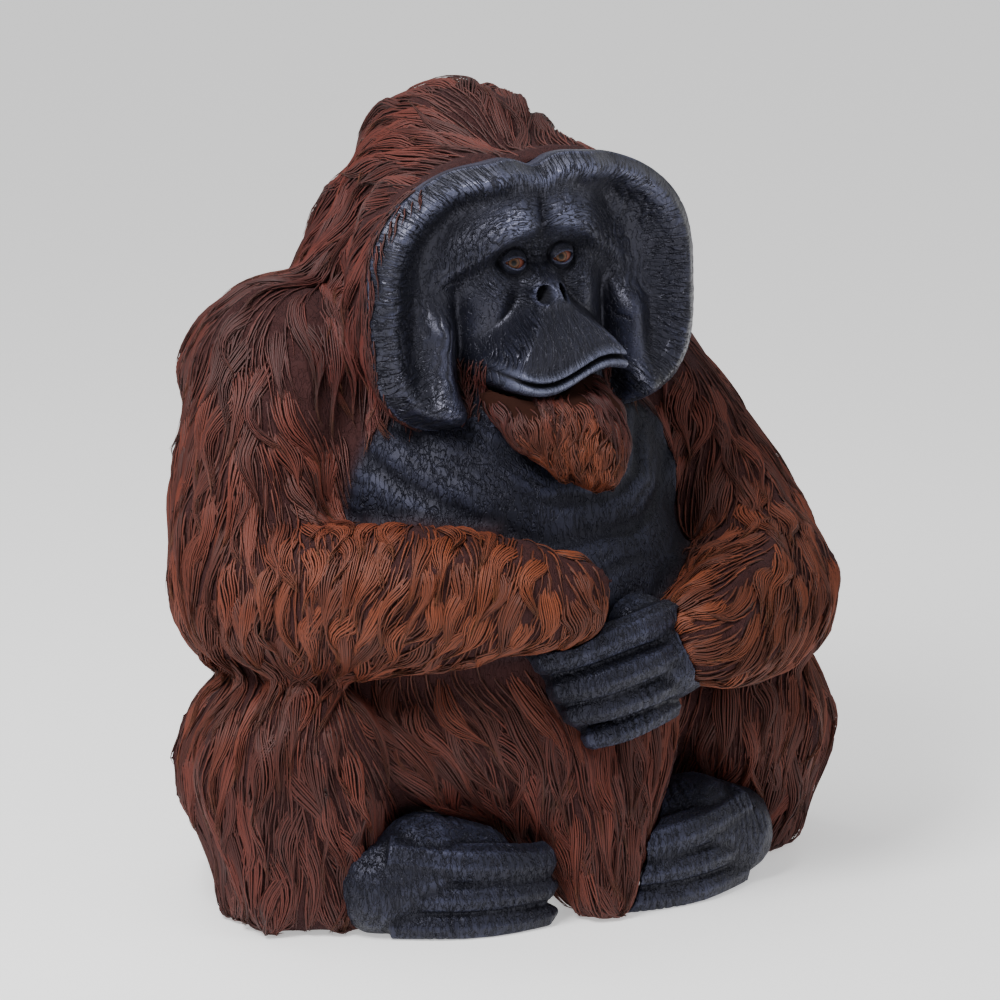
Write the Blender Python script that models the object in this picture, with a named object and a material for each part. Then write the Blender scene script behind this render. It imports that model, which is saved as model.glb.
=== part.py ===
"""A seated, flanged male orangutan: a life-size painted cast figure.

The figure sits on its haunches with both feet drawn in, its forearms crossed over
its lap and its left hand laid over the right. It faces -Y, its left side is +X and
+Z is up. Each mass is modelled whole, fitted to its neighbours with a hair-thin
gap, and parted where a person would name its parts. All sizes are in metres.
"""

import math
import random

import bmesh
import bpy
from mathutils import Matrix, Vector
from mathutils.bvhtree import BVHTree

# Fits
FIT_GAP = 0.0004
CUT_GAP = 0.0003
UNION_WRAP = (0.004, 4)
BEARD_WRAP = (0.003, 1)
BIG = 2.0

# Face, in its own frame: u to the figure's left, v up, w forward
FACE_CENTRE = Vector((0.006, -0.085, 0.687))
FACE_HALF_WIDTH = 0.199
FACE_HALF_HEIGHT = (0.143, 0.161)
UPPER_SQUARENESS = 2.4
LOWER_SQUARENESS = 3.8
FACE_THICKNESS = 0.050
FACE_RINGS = 48
FACE_SPOKES = 144
FACE_TRIANGLES = 1450
HEAD_YAW = math.radians(0.0)
HEAD_ROLL = math.radians(-2.0)
DISH_DEPTH = 0.026
RIM_HEIGHT = 0.031
RIM_PLACE = 0.900
BROW = (0.028, 0.070)
BROW_DROOP = 0.60
EYE = (0.0288, 0.0265)
EYE_RADIUS = 0.0135
EYE_DEPTH = -0.0115
MOUTH_HALF_WIDTH = 0.075
MOUTH_HEIGHT = -0.0815
MOUTH_SLANT = 0.011
NOSE_REACH = 0.037
MUZZLE_REACH = 0.044

# Masses: each row is a centre and its radius, or its three radii
SKULL = [
    ((0.004, 0.112, 0.730), (0.137, 0.148, 0.160)),
    ((0.0, 0.150, 0.660), (0.176, 0.132, 0.140)),
    ((0.0, 0.005, 0.690), (0.150, 0.085, 0.140)),
    ((0.0, 0.010, 0.630), (0.185, 0.085, 0.105)),
]
# Hair behind the face disc: share of its reach, set back and radius of each ring of balls
MANE_RINGS = [(0.790, 0.050, 0.043), (0.690, 0.100, 0.056)]
TRUNK = [
    ((0.0, 0.075, 0.208), (0.255, 0.220, 0.234)),
    ((0.0, -0.010, 0.310), (0.238, 0.190, 0.200)),
    ((0.0, 0.110, 0.350), (0.262, 0.178, 0.200)),
    ((0.0, 0.030, 0.430), (0.230, 0.175, 0.185)),
    ((0.0, 0.125, 0.490), (0.272, 0.166, 0.175)),
    ((0.0, 0.145, 0.600), (0.205, 0.135, 0.105)),
    ((-0.100, 0.140, 0.575), (0.160, 0.135, 0.110)),
    ((0.095, 0.135, 0.570), (0.155, 0.130, 0.105)),
    ((-0.195, 0.130, 0.560), (0.127, 0.127, 0.127)),
    ((0.180, 0.120, 0.545), (0.119, 0.119, 0.119)),
    ((0.0, -0.038, 0.445), (0.185, 0.125, 0.096)),
    ((0.0, 0.138, 0.118), (0.210, 0.150, 0.142)),
    ((-0.195, 0.095, 0.105), (0.135, 0.145, 0.130)),
    ((0.195, 0.095, 0.105), (0.135, 0.145, 0.130)),
]
LAP = [
    [((-0.060, -0.080, 0.225), 0.114), ((0.060, -0.085, 0.215), 0.118)],
    [((-0.060, -0.080, 0.225), 0.114), ((-0.128, -0.080, 0.190), 0.090)],
    [((-0.060, -0.080, 0.225), 0.114), ((0.036, -0.150, 0.110), 0.084), ((0.024, -0.200, 0.020), 0.042)],
    [((0.060, -0.085, 0.215), 0.118), ((0.036, -0.150, 0.110), 0.084)],
]
LEG_RIGHT = [
    ((-0.150, 0.080, 0.170), 0.152),
    ((-0.268, 0.005, 0.160), 0.124),
    ((-0.262, -0.050, 0.175), 0.113),
    ((-0.274, -0.056, 0.045), 0.092),
    ((-0.232, -0.070, 0.055), 0.086),
]
LEG_LEFT = [
    ((0.150, 0.080, 0.170), 0.152),
    ((0.282, -0.005, 0.148), 0.131),
    ((0.262, -0.050, 0.170), 0.113),
    ((0.286, -0.030, 0.048), 0.090),
]
ARM_RIGHT = [
    ((-0.228, 0.100, 0.520), 0.113),
    ((-0.262, 0.070, 0.430), 0.106),
    ((-0.283, 0.040, 0.350), 0.098),
    ((-0.260, -0.040, 0.350), 0.093),
    ((-0.180, -0.150, 0.378), 0.086),
    ((-0.085, -0.205, 0.378), 0.072),
    ((-0.040, -0.225, 0.370), 0.060),
]
ARM_LEFT = [
    ((0.205, 0.100, 0.520), 0.106),
    ((0.272, 0.065, 0.420), 0.102),
    ((0.305, 0.000, 0.330), 0.101),
    ((0.285, -0.085, 0.310), 0.096),
    ((0.205, -0.175, 0.310), 0.082),
    ((0.145, -0.210, 0.305), 0.064),
]
BEARD = [
    ((0.000, -0.108, 0.567), (0.085, 0.062, 0.046)),
    ((0.006, -0.140, 0.545), (0.080, 0.061, 0.050)),
    ((0.018, -0.163, 0.522), (0.062, 0.052, 0.045)),
]
BEARD_TIP = [((0.024, -0.180, 0.510), 0.040), ((0.032, -0.200, 0.495), 0.021)]

# Hands and feet: a digit is the points its middle line passes and its radius
PALM_LEFT = [
    ((0.150, -0.195, 0.300), 0.046),
    ((0.098, -0.200, 0.285), 0.050),
    ((0.070, -0.190, 0.318), 0.040),
]
PALM_RIGHT = [
    ((-0.045, -0.190, 0.345), 0.042),
    ((0.000, -0.190, 0.290), 0.046),
    ((0.010, -0.185, 0.250), 0.042),
]
FINGERS = [
    ([(0.100, -0.205, 0.330), (0.040, -0.238, 0.331), (-0.020, -0.238, 0.319), (-0.052, -0.218, 0.305)], 0.0205),
    ([(0.118, -0.208, 0.300), (0.060, -0.242, 0.294), (0.000, -0.245, 0.283), (-0.036, -0.222, 0.271)], 0.0195),
    ([(0.110, -0.208, 0.262), (0.060, -0.238, 0.259), (0.008, -0.240, 0.251), (-0.020, -0.222, 0.242)], 0.0175),
    ([(0.104, -0.202, 0.229), (0.065, -0.229, 0.227), (0.028, -0.234, 0.220), (0.003, -0.220, 0.211)], 0.0155),
]
FINGER_CURL = (0.012, 0.030, -0.008)
INSTEP = [
    ((0.235, -0.085, 0.055), 0.054),
    ((0.215, -0.134, 0.050), 0.054),
    ((0.165, -0.140, 0.066), 0.061),
    ((0.110, -0.150, 0.060), 0.049),
]
TOES = [
    ([(0.215, -0.155, 0.088), (0.150, -0.188, 0.081), (0.075, -0.198, 0.074), (0.030, -0.185, 0.070)], 0.0240),
    ([(0.220, -0.160, 0.045), (0.155, -0.196, 0.044), (0.080, -0.206, 0.043), (0.030, -0.195, 0.042)], 0.0172),
    ([(0.215, -0.162, 0.014), (0.155, -0.196, 0.013), (0.080, -0.204, 0.012), (0.030, -0.195, 0.012)], 0.0172),
]

# Where each mass is parted
CROWN_CUT = ((0.0, 0.100, 0.690), (0.0, -0.20, 1.0))
NAPE_LINE = 0.085
WAIST_HEIGHT = 0.300
THROAT_HEIGHT = 0.430
BACK_LINE = 0.050
SHOULDER_HEIGHT = 0.450
LEG_LINE = 0.150
LAP_LINE = -0.040
KNEE_LINE = 0.020
FLANGE_LINE = 0.086
BROW_LINE = 0.058
NOSE_LINE = -0.020
MOUTH_CUT = (-0.14, 0.99, 0)
ELBOW_RIGHT = ((-0.280, 0.030, 0.350), (0.17, -0.77, -0.61))
ELBOW_LEFT = ((0.300, -0.020, 0.325), (-0.125, -0.78, -0.61))

# Coat
LOCK_SEED = 7
BEARD_SEED = 3
LOCK_STATIONS = 5
LOCK_RISE = 0.23
LOCK_SINK = 0.004
LOCK_ROOT = 0.18
SKIN_INSET = 0.006
GUIDE_REACH = 0.075
DOWN = (0.0, 0.0, -1.0)
# Lie of the coat on the right half, mirrored for the left: a place and a direction
LIE = [
    ((-0.03, 0.02, 0.870), (-0.3, 0.8, 0.6)),
    ((-0.05, 0.10, 0.890), (-0.4, 1.0, 0.0)),
    ((-0.10, 0.05, 0.810), (-0.3, 0.9, 0.1)),
    ((-0.13, 0.12, 0.740), (0.0, 0.8, -0.5)),
    ((-0.14, 0.10, 0.640), (-0.1, 0.1, -1.0)),
    ((-0.15, 0.02, 0.590), (0.0, -0.3, -1.0)),
    ((0.00, 0.27, 0.700), DOWN),
    ((0.00, 0.29, 0.500), DOWN),
    ((-0.18, 0.16, 0.640), (-0.7, 0.0, -0.5)),
    ((-0.28, 0.20, 0.520), (-0.2, 0.1, -1.0)),
    ((-0.34, 0.05, 0.520), (-0.1, -0.2, -1.0)),
    ((-0.24, -0.02, 0.520), (0.1, -0.2, -1.0)),
    ((-0.20, 0.25, 0.250), DOWN),
    ((-0.28, -0.12, 0.270), (-0.1, -0.5, -1.0)),
    ((-0.36, -0.02, 0.160), (-0.1, -0.1, -1.0)),
    ((-0.29, -0.17, 0.140), (0.1, -0.1, -1.0)),
    ((-0.18, -0.14, 0.180), (0.5, -0.2, -1.0)),
    ((-0.05, -0.23, 0.200), (0.2, -0.1, -1.0)),
    ((0.00, -0.26, 0.080), DOWN),
]
LIE_ARM_RIGHT = [
    ((-0.37, 0.03, 0.360), DOWN),
    ((-0.25, -0.10, 0.420), (-0.6, -0.3, -0.8)),
    ((-0.16, -0.20, 0.400), (-0.7, 0.0, -0.8)),
    ((-0.05, -0.27, 0.380), (0.0, 0.0, -1.0)),
    ((-0.24, -0.12, 0.290), (-0.3, 0.0, -1.0)),
]
LIE_ARM_LEFT = [
    ((0.37, 0.00, 0.360), DOWN),
    ((0.30, -0.14, 0.350), (-0.1, -0.2, -1.0)),
    ((0.20, -0.24, 0.340), (-0.8, -0.1, -0.6)),
    ((0.20, -0.23, 0.270), (-0.3, 0.0, -1.0)),
]

# Paint by the start of a node's name: colour and roughness
PAINT = [
    ("eye", ((0.160, 0.050, 0.022), 0.15)),
    ("beard", ((0.210, 0.066, 0.026), 0.60)),
    ("forearm", ((0.250, 0.078, 0.028), 0.60)),
    ("upper_arm", ((0.180, 0.050, 0.024), 0.60)),
    ("shoulders", ((0.130, 0.038, 0.024), 0.60)),
    ("crown", ((0.100, 0.034, 0.028), 0.60)),
    ("nape", ((0.100, 0.034, 0.028), 0.60)),
    ("mane", ((0.110, 0.036, 0.028), 0.60)),
    ("lower_back", ((0.110, 0.034, 0.024), 0.60)),
    ("rump", ((0.090, 0.030, 0.024), 0.60)),
    ("lap", ((0.090, 0.032, 0.026), 0.60)),
    ("knee", ((0.110, 0.036, 0.026), 0.60)),
    ("thigh", ((0.100, 0.032, 0.024), 0.60)),
    ("", ((0.026, 0.028, 0.038), 0.42)),
]


def clear_scene():
    for obj in list(bpy.data.objects):
        bpy.data.objects.remove(obj)


def paint(name, look):
    colour, roughness = look
    material = bpy.data.materials.new(name)
    material.use_nodes = True
    shader = material.node_tree.nodes["Principled BSDF"]
    shader.inputs["Base Color"].default_value = (*colour, 1.0)
    shader.inputs["Roughness"].default_value = roughness
    shader.inputs["Metallic"].default_value = 0.0
    return material


# Objects and modifiers


def place_mesh(name, bm):
    mesh = bpy.data.meshes.new(name)
    bm.to_mesh(mesh)
    bm.free()
    obj = bpy.data.objects.new(name, mesh)
    bpy.context.scene.collection.objects.link(obj)
    return obj


def apply_modifiers(obj):
    bpy.context.view_layer.update()
    graph = bpy.context.evaluated_depsgraph_get()
    mesh = bpy.data.meshes.new_from_object(obj.evaluated_get(graph))
    obj.modifiers.clear()
    obj.data = mesh


def remove(*objects):
    for obj in objects:
        bpy.data.objects.remove(obj)


def copy_of(obj, name):
    twin = bpy.data.objects.new(name, obj.data.copy())
    bpy.context.scene.collection.objects.link(twin)
    return twin


def enclosed(faces):
    """Volume inside a closed set of faces, each given as its list of corner places."""
    total = 0.0
    for first, *rest in faces:
        for a, b in zip(rest, rest[1:]):
            total += first.dot(a.cross(b))
    return abs(total) / 6


def volume_of(obj):
    corners = [v.co for v in obj.data.vertices]
    return enclosed([[corners[i] for i in p.vertices] for p in obj.data.polygons])


def keep_largest(obj):
    """Keeps the closed surface with the most volume and drops every loose scrap."""
    bm = bmesh.new()
    bm.from_mesh(obj.data)
    unseen = set(bm.faces)
    islands = []
    while unseen:
        island = [unseen.pop()]
        for face in island:
            near = {f for e in face.edges for f in e.link_faces} & unseen
            unseen -= near
            island.extend(near)
        islands.append(island)

    islands.sort(key=lambda island: enclosed([[v.co for v in f.verts] for f in island]))
    scraps = [face for island in islands[:-1] for face in island]
    bmesh.ops.delete(bm, geom=scraps, context="FACES")
    bm.to_mesh(obj.data)
    bm.free()


def tidy(obj):
    """Merges what a cut leaves within a hair's breadth and makes every face a triangle."""
    for reach in (0.00002, 0.000005, 0.0000012):
        bm = bmesh.new()
        bm.from_mesh(obj.data)
        bmesh.ops.remove_doubles(bm, verts=bm.verts, dist=reach)
        bmesh.ops.dissolve_degenerate(bm, edges=bm.edges, dist=reach)
        bmesh.ops.triangulate(bm, faces=bm.faces)
        if all(edge.is_manifold for edge in bm.edges):
            break
    bm.to_mesh(obj.data)
    bm.free()


def combine(obj, other, operation, solvers=("EXACT", "MANIFOLD")):
    for solver in solvers:
        before = obj.data.copy()
        boolean = obj.modifiers.new("combine", "BOOLEAN")
        boolean.operation = operation
        boolean.solver = solver
        boolean.object = other
        apply_modifiers(obj)
        if obj.data.polygons:
            break
        obj.data = before


def melt(obj, voxel, smooth):
    """Wraps everything in one even skin, which closes what touches itself, and softens it."""
    remesh = obj.modifiers.new("remesh", "REMESH")
    remesh.mode = "VOXEL"
    remesh.voxel_size = voxel
    relax = obj.modifiers.new("relax", "SMOOTH")
    relax.factor = 0.5
    relax.iterations = smooth
    apply_modifiers(obj)


def unite(obj, pieces, voxel, smooth):
    """Fuses a list of closed pieces into the object in one union."""
    group = bpy.data.collections.new("pieces")
    for piece in pieces:
        group.objects.link(piece)
    least = volume_of(obj) * 0.98
    for solver in ("EXACT", "MANIFOLD"):
        before = obj.data.copy()
        boolean = obj.modifiers.new("unite", "BOOLEAN")
        boolean.operation = "UNION"
        boolean.solver = solver
        boolean.operand_type = "COLLECTION"
        boolean.collection = group
        apply_modifiers(obj)
        keep_largest(obj)
        if volume_of(obj) > least:
            break
        obj.data = before
    remove(*pieces)
    bpy.data.collections.remove(group)
    melt(obj, voxel, smooth)
    tidy(obj)


def thin(obj, triangles):
    """Collapses the least telling edges until about that many triangles are left."""
    decimate = obj.modifiers.new("thin", "DECIMATE")
    decimate.ratio = min(1.0, triangles / len(obj.data.polygons))
    apply_modifiers(obj)
    keep_largest(obj)
    tidy(obj)


def fit(obj, *neighbours):
    """Cuts the object back so that it clears each neighbour by the fitting gap."""
    for neighbour in neighbours:
        cutter = copy_of(neighbour, "cutter")
        bm = bmesh.new()
        bm.from_mesh(cutter.data)
        steps = [v.normal * FIT_GAP * min(3.0, v.calc_shell_factor()) for v in bm.verts]
        for vertex, step in zip(bm.verts, steps):
            vertex.co += step
        bm.to_mesh(cutter.data)
        bm.free()
        combine(obj, cutter, "DIFFERENCE", ("MANIFOLD", "EXACT"))
        remove(cutter)
    keep_largest(obj)
    tidy(obj)


def box_of(obj):
    corners = [v.co for v in obj.data.vertices]
    low = [min(c[i] for c in corners) - FIT_GAP for i in range(3)]
    high = [max(c[i] for c in corners) + FIT_GAP for i in range(3)]
    return low, high


def boxes_meet(obj, other):
    (low, high), (other_low, other_high) = box_of(obj), box_of(other)
    return all(low[i] < other_high[i] and other_low[i] < high[i] for i in range(3))


def fit_in_turn(pieces):
    """Fits each piece to all before it, so the coarse masses come first in the list."""
    for i, piece in enumerate(pieces):
        fit(piece, *[other for other in pieces[:i] if boxes_meet(piece, other)])


def half_space(point, normal):
    """A big box whose face passes through the point; it fills the side the normal shows."""
    bm = bmesh.new()
    bmesh.ops.create_cube(bm, size=BIG)
    bmesh.ops.translate(bm, verts=bm.verts, vec=(0, 0, BIG / 2))
    turn = Vector((0, 0, 1)).rotation_difference(Vector(normal)).to_matrix().to_4x4()
    bmesh.ops.transform(bm, matrix=Matrix.Translation(point) @ turn, verts=bm.verts)
    return place_mesh("half_space", bm)


def part(obj, point, normal, ahead, behind):
    """Parts the object in two by a thin plane cut: ahead keeps the normal's side."""
    normal = Vector(normal).normalized()
    twin = copy_of(obj, ahead)
    obj.name = behind
    for piece, way in ((twin, -1.0), (obj, 1.0)):
        cutter = half_space(Vector(point) - normal * way * CUT_GAP / 2, normal * way)
        combine(piece, cutter, "DIFFERENCE")
        remove(cutter)
        keep_largest(piece)
        tidy(piece)
    return twin, obj


def clip_at_floor(obj):
    cutter = half_space((0, 0, 0), (0, 0, -1))
    combine(obj, cutter, "DIFFERENCE")
    remove(cutter)
    keep_largest(obj)
    tidy(obj)


# Masses


def mirrored(rows):
    return [((-c[0], c[1], c[2]), r) for c, r in rows]


def add_ball(bm, centre, radii, detail=3):
    made = bmesh.ops.create_icosphere(bm, subdivisions=detail, radius=1.0)["verts"]
    bmesh.ops.scale(bm, verts=made, vec=radii)
    bmesh.ops.translate(bm, verts=made, vec=centre)


def add_round_cones(bm, stations, detail=3):
    """A limb: each neighbouring pair of balls is joined by its convex hull."""
    unit = bmesh.new()
    bmesh.ops.create_icosphere(unit, subdivisions=detail, radius=1.0)
    ways = [v.co.copy() for v in unit.verts]
    unit.free()
    for (near, near_radius), (far, far_radius) in zip(stations, stations[1:]):
        hull = [bm.verts.new(Vector(near) + way * near_radius) for way in ways]
        hull += [bm.verts.new(Vector(far) + way * far_radius) for way in ways]
        made = bmesh.ops.convex_hull(bm, input=hull)
        spare = [g for g in made["geom_interior"] if isinstance(g, bmesh.types.BMVert)]
        bmesh.ops.delete(bm, geom=spare, context="VERTS")


def fuse(name, balls, limbs, voxel, smooth, triangles):
    """Melts balls and limbs into one smooth closed skin of about that many triangles."""
    bm = bmesh.new()
    for centre, radii in balls:
        add_ball(bm, centre, radii)
    for stations in limbs:
        add_round_cones(bm, stations)
    obj = place_mesh(name, bm)
    melt(obj, voxel, smooth)
    tidy(obj)
    thin(obj, triangles)
    return obj


def add_tube(bm, path, radii, sides):
    """A closed tapering tube with domed ends along a path of points."""
    rings = []
    side_way = None
    for i, point in enumerate(path):
        ahead = path[min(i + 1, len(path) - 1)] - path[max(i - 1, 0)]
        ahead.normalize()
        if side_way is None:
            side_way = ahead.orthogonal().normalized()
        side_way = (side_way - ahead * side_way.dot(ahead)).normalized()
        up_way = ahead.cross(side_way)
        ring = []
        for k in range(sides):
            angle = 2 * math.pi * k / sides
            way = side_way * math.cos(angle) + up_way * math.sin(angle)
            ring.append(bm.verts.new(point + way * radii[i]))
        rings.append(ring)
    for low, high in zip(rings, rings[1:]):
        for k in range(sides):
            n = (k + 1) % sides
            bm.faces.new((low[k], low[n], high[n], high[k]))
    bm.faces.new(rings[0][::-1])
    bm.faces.new(rings[-1])


def smooth_path(points, count):
    """Evenly placed points on a smooth curve through the given ones."""
    knots = [Vector(p) for p in points]
    knots = [2 * knots[0] - knots[1], *knots, 2 * knots[-1] - knots[-2]]
    found = []
    for i in range(count):
        place = i / (count - 1) * (len(knots) - 3)
        k = min(int(place), len(knots) - 4)
        t = place - k
        a, b, c, d = knots[k : k + 4]
        found.append(
            0.5
            * (
                2 * b
                + (c - a) * t
                + (2 * a - 5 * b + 4 * c - d) * t**2
                + (3 * b - 3 * c + d - a) * t**3
            )
        )
    return found


def digit(name, points, radius):
    """A finger or toe: a tube that swells at its joints and has a domed end."""
    count = 9
    path = smooth_path(points, count)
    radii = []
    for i in range(count):
        t = i / (count - 1)
        swell = 1.0 + 0.05 * math.cos(t * 4 * math.pi)
        dome = math.sqrt(max(0.0, 1.0 - max(0.0, (t - 0.86) / 0.145) ** 2))
        radii.append(radius * swell * max(dome, 0.2) * (1.0 - 0.10 * t))
    bm = bmesh.new()
    add_tube(bm, path, radii, 8)
    bmesh.ops.recalc_face_normals(bm, faces=bm.faces)
    obj = place_mesh(name, bm)
    tidy(obj)
    return obj


# Face


def hump(value, centre, width):
    return math.exp(-(((value - centre) / width) ** 2))


def ramp(value, low, high):
    t = min(1.0, max(0.0, (value - low) / (high - low)))
    return t * t * (3 - 2 * t)


def face_radius(angle):
    """How far the face disc reaches from its centre in a direction."""
    lower = math.sin(angle) < 0
    n = LOWER_SQUARENESS if lower else UPPER_SQUARENESS
    across = abs(math.cos(angle) / FACE_HALF_WIDTH) ** n
    along = abs(math.sin(angle) / FACE_HALF_HEIGHT[lower]) ** n
    reach = (across + along) ** (-1 / n)
    notch = 0.09 * hump(angle, math.pi / 2, 0.16) + 0.17 * hump(angle, -math.pi / 2, 0.42)
    return reach * (1 - notch)


def mouth_line(u):
    reach = min(0.085, max(-0.085, u))
    return MOUTH_HEIGHT + MOUTH_SLANT * math.sin(math.pi * reach / MOUTH_HALF_WIDTH)


def flange_depth(u, v, share):
    """The rolled rim, the dish inside it and the roll beside the muzzle."""
    side = abs(u)
    rim_width = 0.135 if share < RIM_PLACE else 0.085
    under_chin = (1 - ramp(side, 0.065, 0.105)) * ramp(-v, 0.04, 0.09)
    rim = RIM_HEIGHT * (1 - 0.5 * hump(u, 0.0, 0.030)) * hump(share, RIM_PLACE, rim_width)
    roll = hump(side, 0.116, 0.021) * ramp(-v, -0.005, 0.050) * (1 - ramp(-v, 0.120, 0.152))
    depth = rim * (1 - under_chin) - DISH_DEPTH * ramp(side, 0.050, 0.100)
    depth -= 0.014 * ramp(v, 0.095, 0.145) * (1 - ramp(side, 0.02, 0.07))
    return depth + 0.029 * roll - 0.010 * hump(side, 0.088, 0.009) * ramp(-v, -0.01, 0.03)


def brow_depth(u, v):
    """Two domes with a crease between them, drooping outwards, and the sockets below."""
    side = abs(u)
    crest = BROW[1] - BROW_DROOP * max(0.0, side - BROW[0])
    ridge = hump(v, crest, 0.0135 if v < crest else 0.034) * (1 - ramp(side, 0.090, 0.128))
    dome = 0.018 + 0.012 * hump(side, BROW[0], 0.017)
    cheek = 0.010 * hump(side, 0.052, 0.017) * hump(v, -0.010, 0.024)
    socket = 0.025 * hump(side, EYE[0] + 0.002, 0.021) * hump(v, EYE[1] + 0.002, 0.015)
    return dome * ridge * (1 - 0.5 * hump(u, 0.0, 0.007)) + cheek - socket


def muzzle_depth(u, v):
    """Nose, upper lip, lips and chin, which stand out from the middle of the face."""
    side = abs(u)
    line = mouth_line(u)
    half_width = 0.019 + 0.060 * ramp(-v, -0.004, 0.080)
    soft = 0.006 + 0.010 * (1 - ramp(-v, 0.0, 0.045))
    wall = 1 - ramp(side, half_width - soft, half_width + 0.007)
    dome = wall * (1 - 0.11 * (side / half_width) ** 2)
    reach = NOSE_REACH * ramp(-v, -0.034, 0.012) + MUZZLE_REACH * ramp(-v, 0.010, 0.076)
    reach += 0.006 * hump(v, -0.046, 0.022)
    depth = reach * dome * (1 - 0.80 * ramp(line - v, 0.011, 0.024))
    depth += 0.016 * hump(u, 0.0, 0.020) * hump(v, -0.001, 0.012)
    depth += 0.006 * hump(side, 0.0185, 0.006) * hump(v, -0.004, 0.009)
    lips = 1 - ramp(side, MOUTH_HALF_WIDTH - 0.014, MOUTH_HALF_WIDTH + 0.005)
    rolls = 0.006 * hump(v, line + 0.0062, 0.0052) + 0.007 * hump(v, line - 0.0066, 0.0052)
    return depth + lips * (rolls - 0.010 * hump(v, line, 0.0024))


def face_depth(u, v, share):
    """How far forward the face stands at (u, v); share is 0 mid-face and 1 at the rim."""
    return flange_depth(u, v, share) + brow_depth(u, v) + muzzle_depth(u, v)


def head_frame():
    """Takes a point of the face's own frame to the figure's frame."""
    axes = Matrix(((1, 0, 0), (0, 0, -1), (0, 1, 0))).to_4x4()
    turn = Matrix.Rotation(HEAD_YAW, 4, "Z") @ Matrix.Rotation(HEAD_ROLL, 4, "Y")
    return Matrix.Translation(FACE_CENTRE) @ turn @ axes


def build_face():
    """The face disc: brow, muzzle and both cheek flanges, with a flattened back."""
    frame = head_frame()
    bm = bmesh.new()
    pole = bm.verts.new(frame @ Vector((0, 0, face_depth(0, 0, 0))))
    angles = [2 * math.pi * k / FACE_SPOKES - math.pi / 2 for k in range(FACE_SPOKES)]
    rings = []
    for i in range(1, FACE_RINGS + 1):
        share = (i / FACE_RINGS) ** 0.95
        ring = []
        for angle in angles:
            wrapped = math.atan2(math.sin(angle), math.cos(angle))
            reach = face_radius(wrapped) * share
            u, v = reach * math.cos(angle), reach * math.sin(angle)
            ring.append(bm.verts.new(frame @ Vector((u, v, face_depth(u, v, share)))))
        rings.append(ring)
    for shrink, back in ((0.970, 0.022), (0.80, FACE_THICKNESS)):
        ring = []
        for angle in angles:
            wrapped = math.atan2(math.sin(angle), math.cos(angle))
            reach = face_radius(wrapped) * shrink
            u, v = reach * math.cos(angle), reach * math.sin(angle)
            ring.append(bm.verts.new(frame @ Vector((u, v, -back))))
        rings.append(ring)
    last = bm.verts.new(frame @ Vector((0, 0, -FACE_THICKNESS)))
    for k in range(FACE_SPOKES):
        n = (k + 1) % FACE_SPOKES
        bm.faces.new((pole, rings[0][k], rings[0][n]))
        for low, high in zip(rings, rings[1:]):
            bm.faces.new((low[k], high[k], high[n], low[n]))
        bm.faces.new((last, rings[-1][n], rings[-1][k]))
    bmesh.ops.recalc_face_normals(bm, faces=bm.faces)
    obj = place_mesh("face", bm)
    tidy(obj)
    thin(obj, FACE_TRIANGLES)
    return obj


def mane_balls():
    """Hair bunched all round behind the face disc."""
    frame = head_frame()
    rows = []
    for share, back, radius in MANE_RINGS:
        for k in range(24):
            angle = 2 * math.pi * (k + 0.5) / 24 - math.pi
            reach = face_radius(angle) * share
            place = frame @ Vector((reach * math.cos(angle), reach * math.sin(angle), -back))
            rows.append((tuple(place), (radius,) * 3))
    return rows


def build_eye(name, side):
    frame = head_frame()
    bm = bmesh.new()
    bmesh.ops.create_icosphere(bm, subdivisions=2, radius=EYE_RADIUS)
    place = frame @ Vector((side * EYE[0], EYE[1], EYE_DEPTH))
    bmesh.ops.translate(bm, verts=bm.verts, vec=place)
    return place_mesh(name, bm)


# Coat


def lie_guides():
    both = list(LIE)
    both += [((-p[0], p[1], p[2]), (-d[0], d[1], d[2])) for p, d in LIE]
    both += LIE_ARM_RIGHT + LIE_ARM_LEFT
    return [(Vector(p), Vector(d).normalized()) for p, d in both]


def lie_of_coat(guides, place, normal):
    """The way the hair runs at a place: a blend of the near guides, laid on the skin."""
    way = Vector((0, 0, -0.02))
    for spot, direction in guides:
        way += direction * math.exp(-((place - spot).length_squared) / GUIDE_REACH**2)
    way -= normal * way.dot(normal)
    return way.normalized()


def is_bare_chest(place):
    return abs(place.x) < 0.21 and place.y < -0.02 and 0.30 < place.z < 0.64


def lock_path(tree, guides, seed_place, length, swing):
    """The stations of a lock that runs over the skin: place, way out and way ahead."""
    place, normal, _, _ = tree.find_nearest(seed_place)
    stations = []
    for i in range(LOCK_STATIONS):
        t = i / (LOCK_STATIONS - 1)
        way = lie_of_coat(guides, place, normal)
        way = Matrix.Rotation(swing * math.sin(t * 2 * math.pi), 3, normal) @ way
        stations.append((place, normal, way))
        place, normal, _, _ = tree.find_nearest(place + way * length / (LOCK_STATIONS - 1))
    return stations


def add_lock(bm, tree, stations, width, lean):
    """One carved lock: a broad tapered ridge, steep on one side, that bends with the coat."""
    rings = []
    for i, (place, normal, way) in enumerate(stations):
        t = i / (LOCK_STATIONS - 1)
        across = normal.cross(way)
        half = width / 2 * (0.55 + 0.45 * math.sin(math.pi * min(1.0, 0.1 + 1.1 * t)))
        half *= 1.0 - 0.80 * t**2
        rise = LOCK_RISE * width * math.sin(math.pi * (0.06 + 0.76 * t))
        edges = []
        for side in (-1, 1):
            spot, out, _, _ = tree.find_nearest(place + across * half * side)
            edges.append(spot - out * LOCK_SINK)
        crest = place + across * half * lean + normal * rise
        row = (edges[0], crest, edges[1], place - normal * LOCK_ROOT * width)
        rings.append([bm.verts.new(p) for p in row])
    for low, high in zip(rings, rings[1:]):
        for k in range(4):
            n = (k + 1) % 4
            bm.faces.new((low[k], low[n], high[n], high[k]))
    bm.faces.new(rings[0][::-1])
    bm.faces.new(rings[-1])


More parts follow.
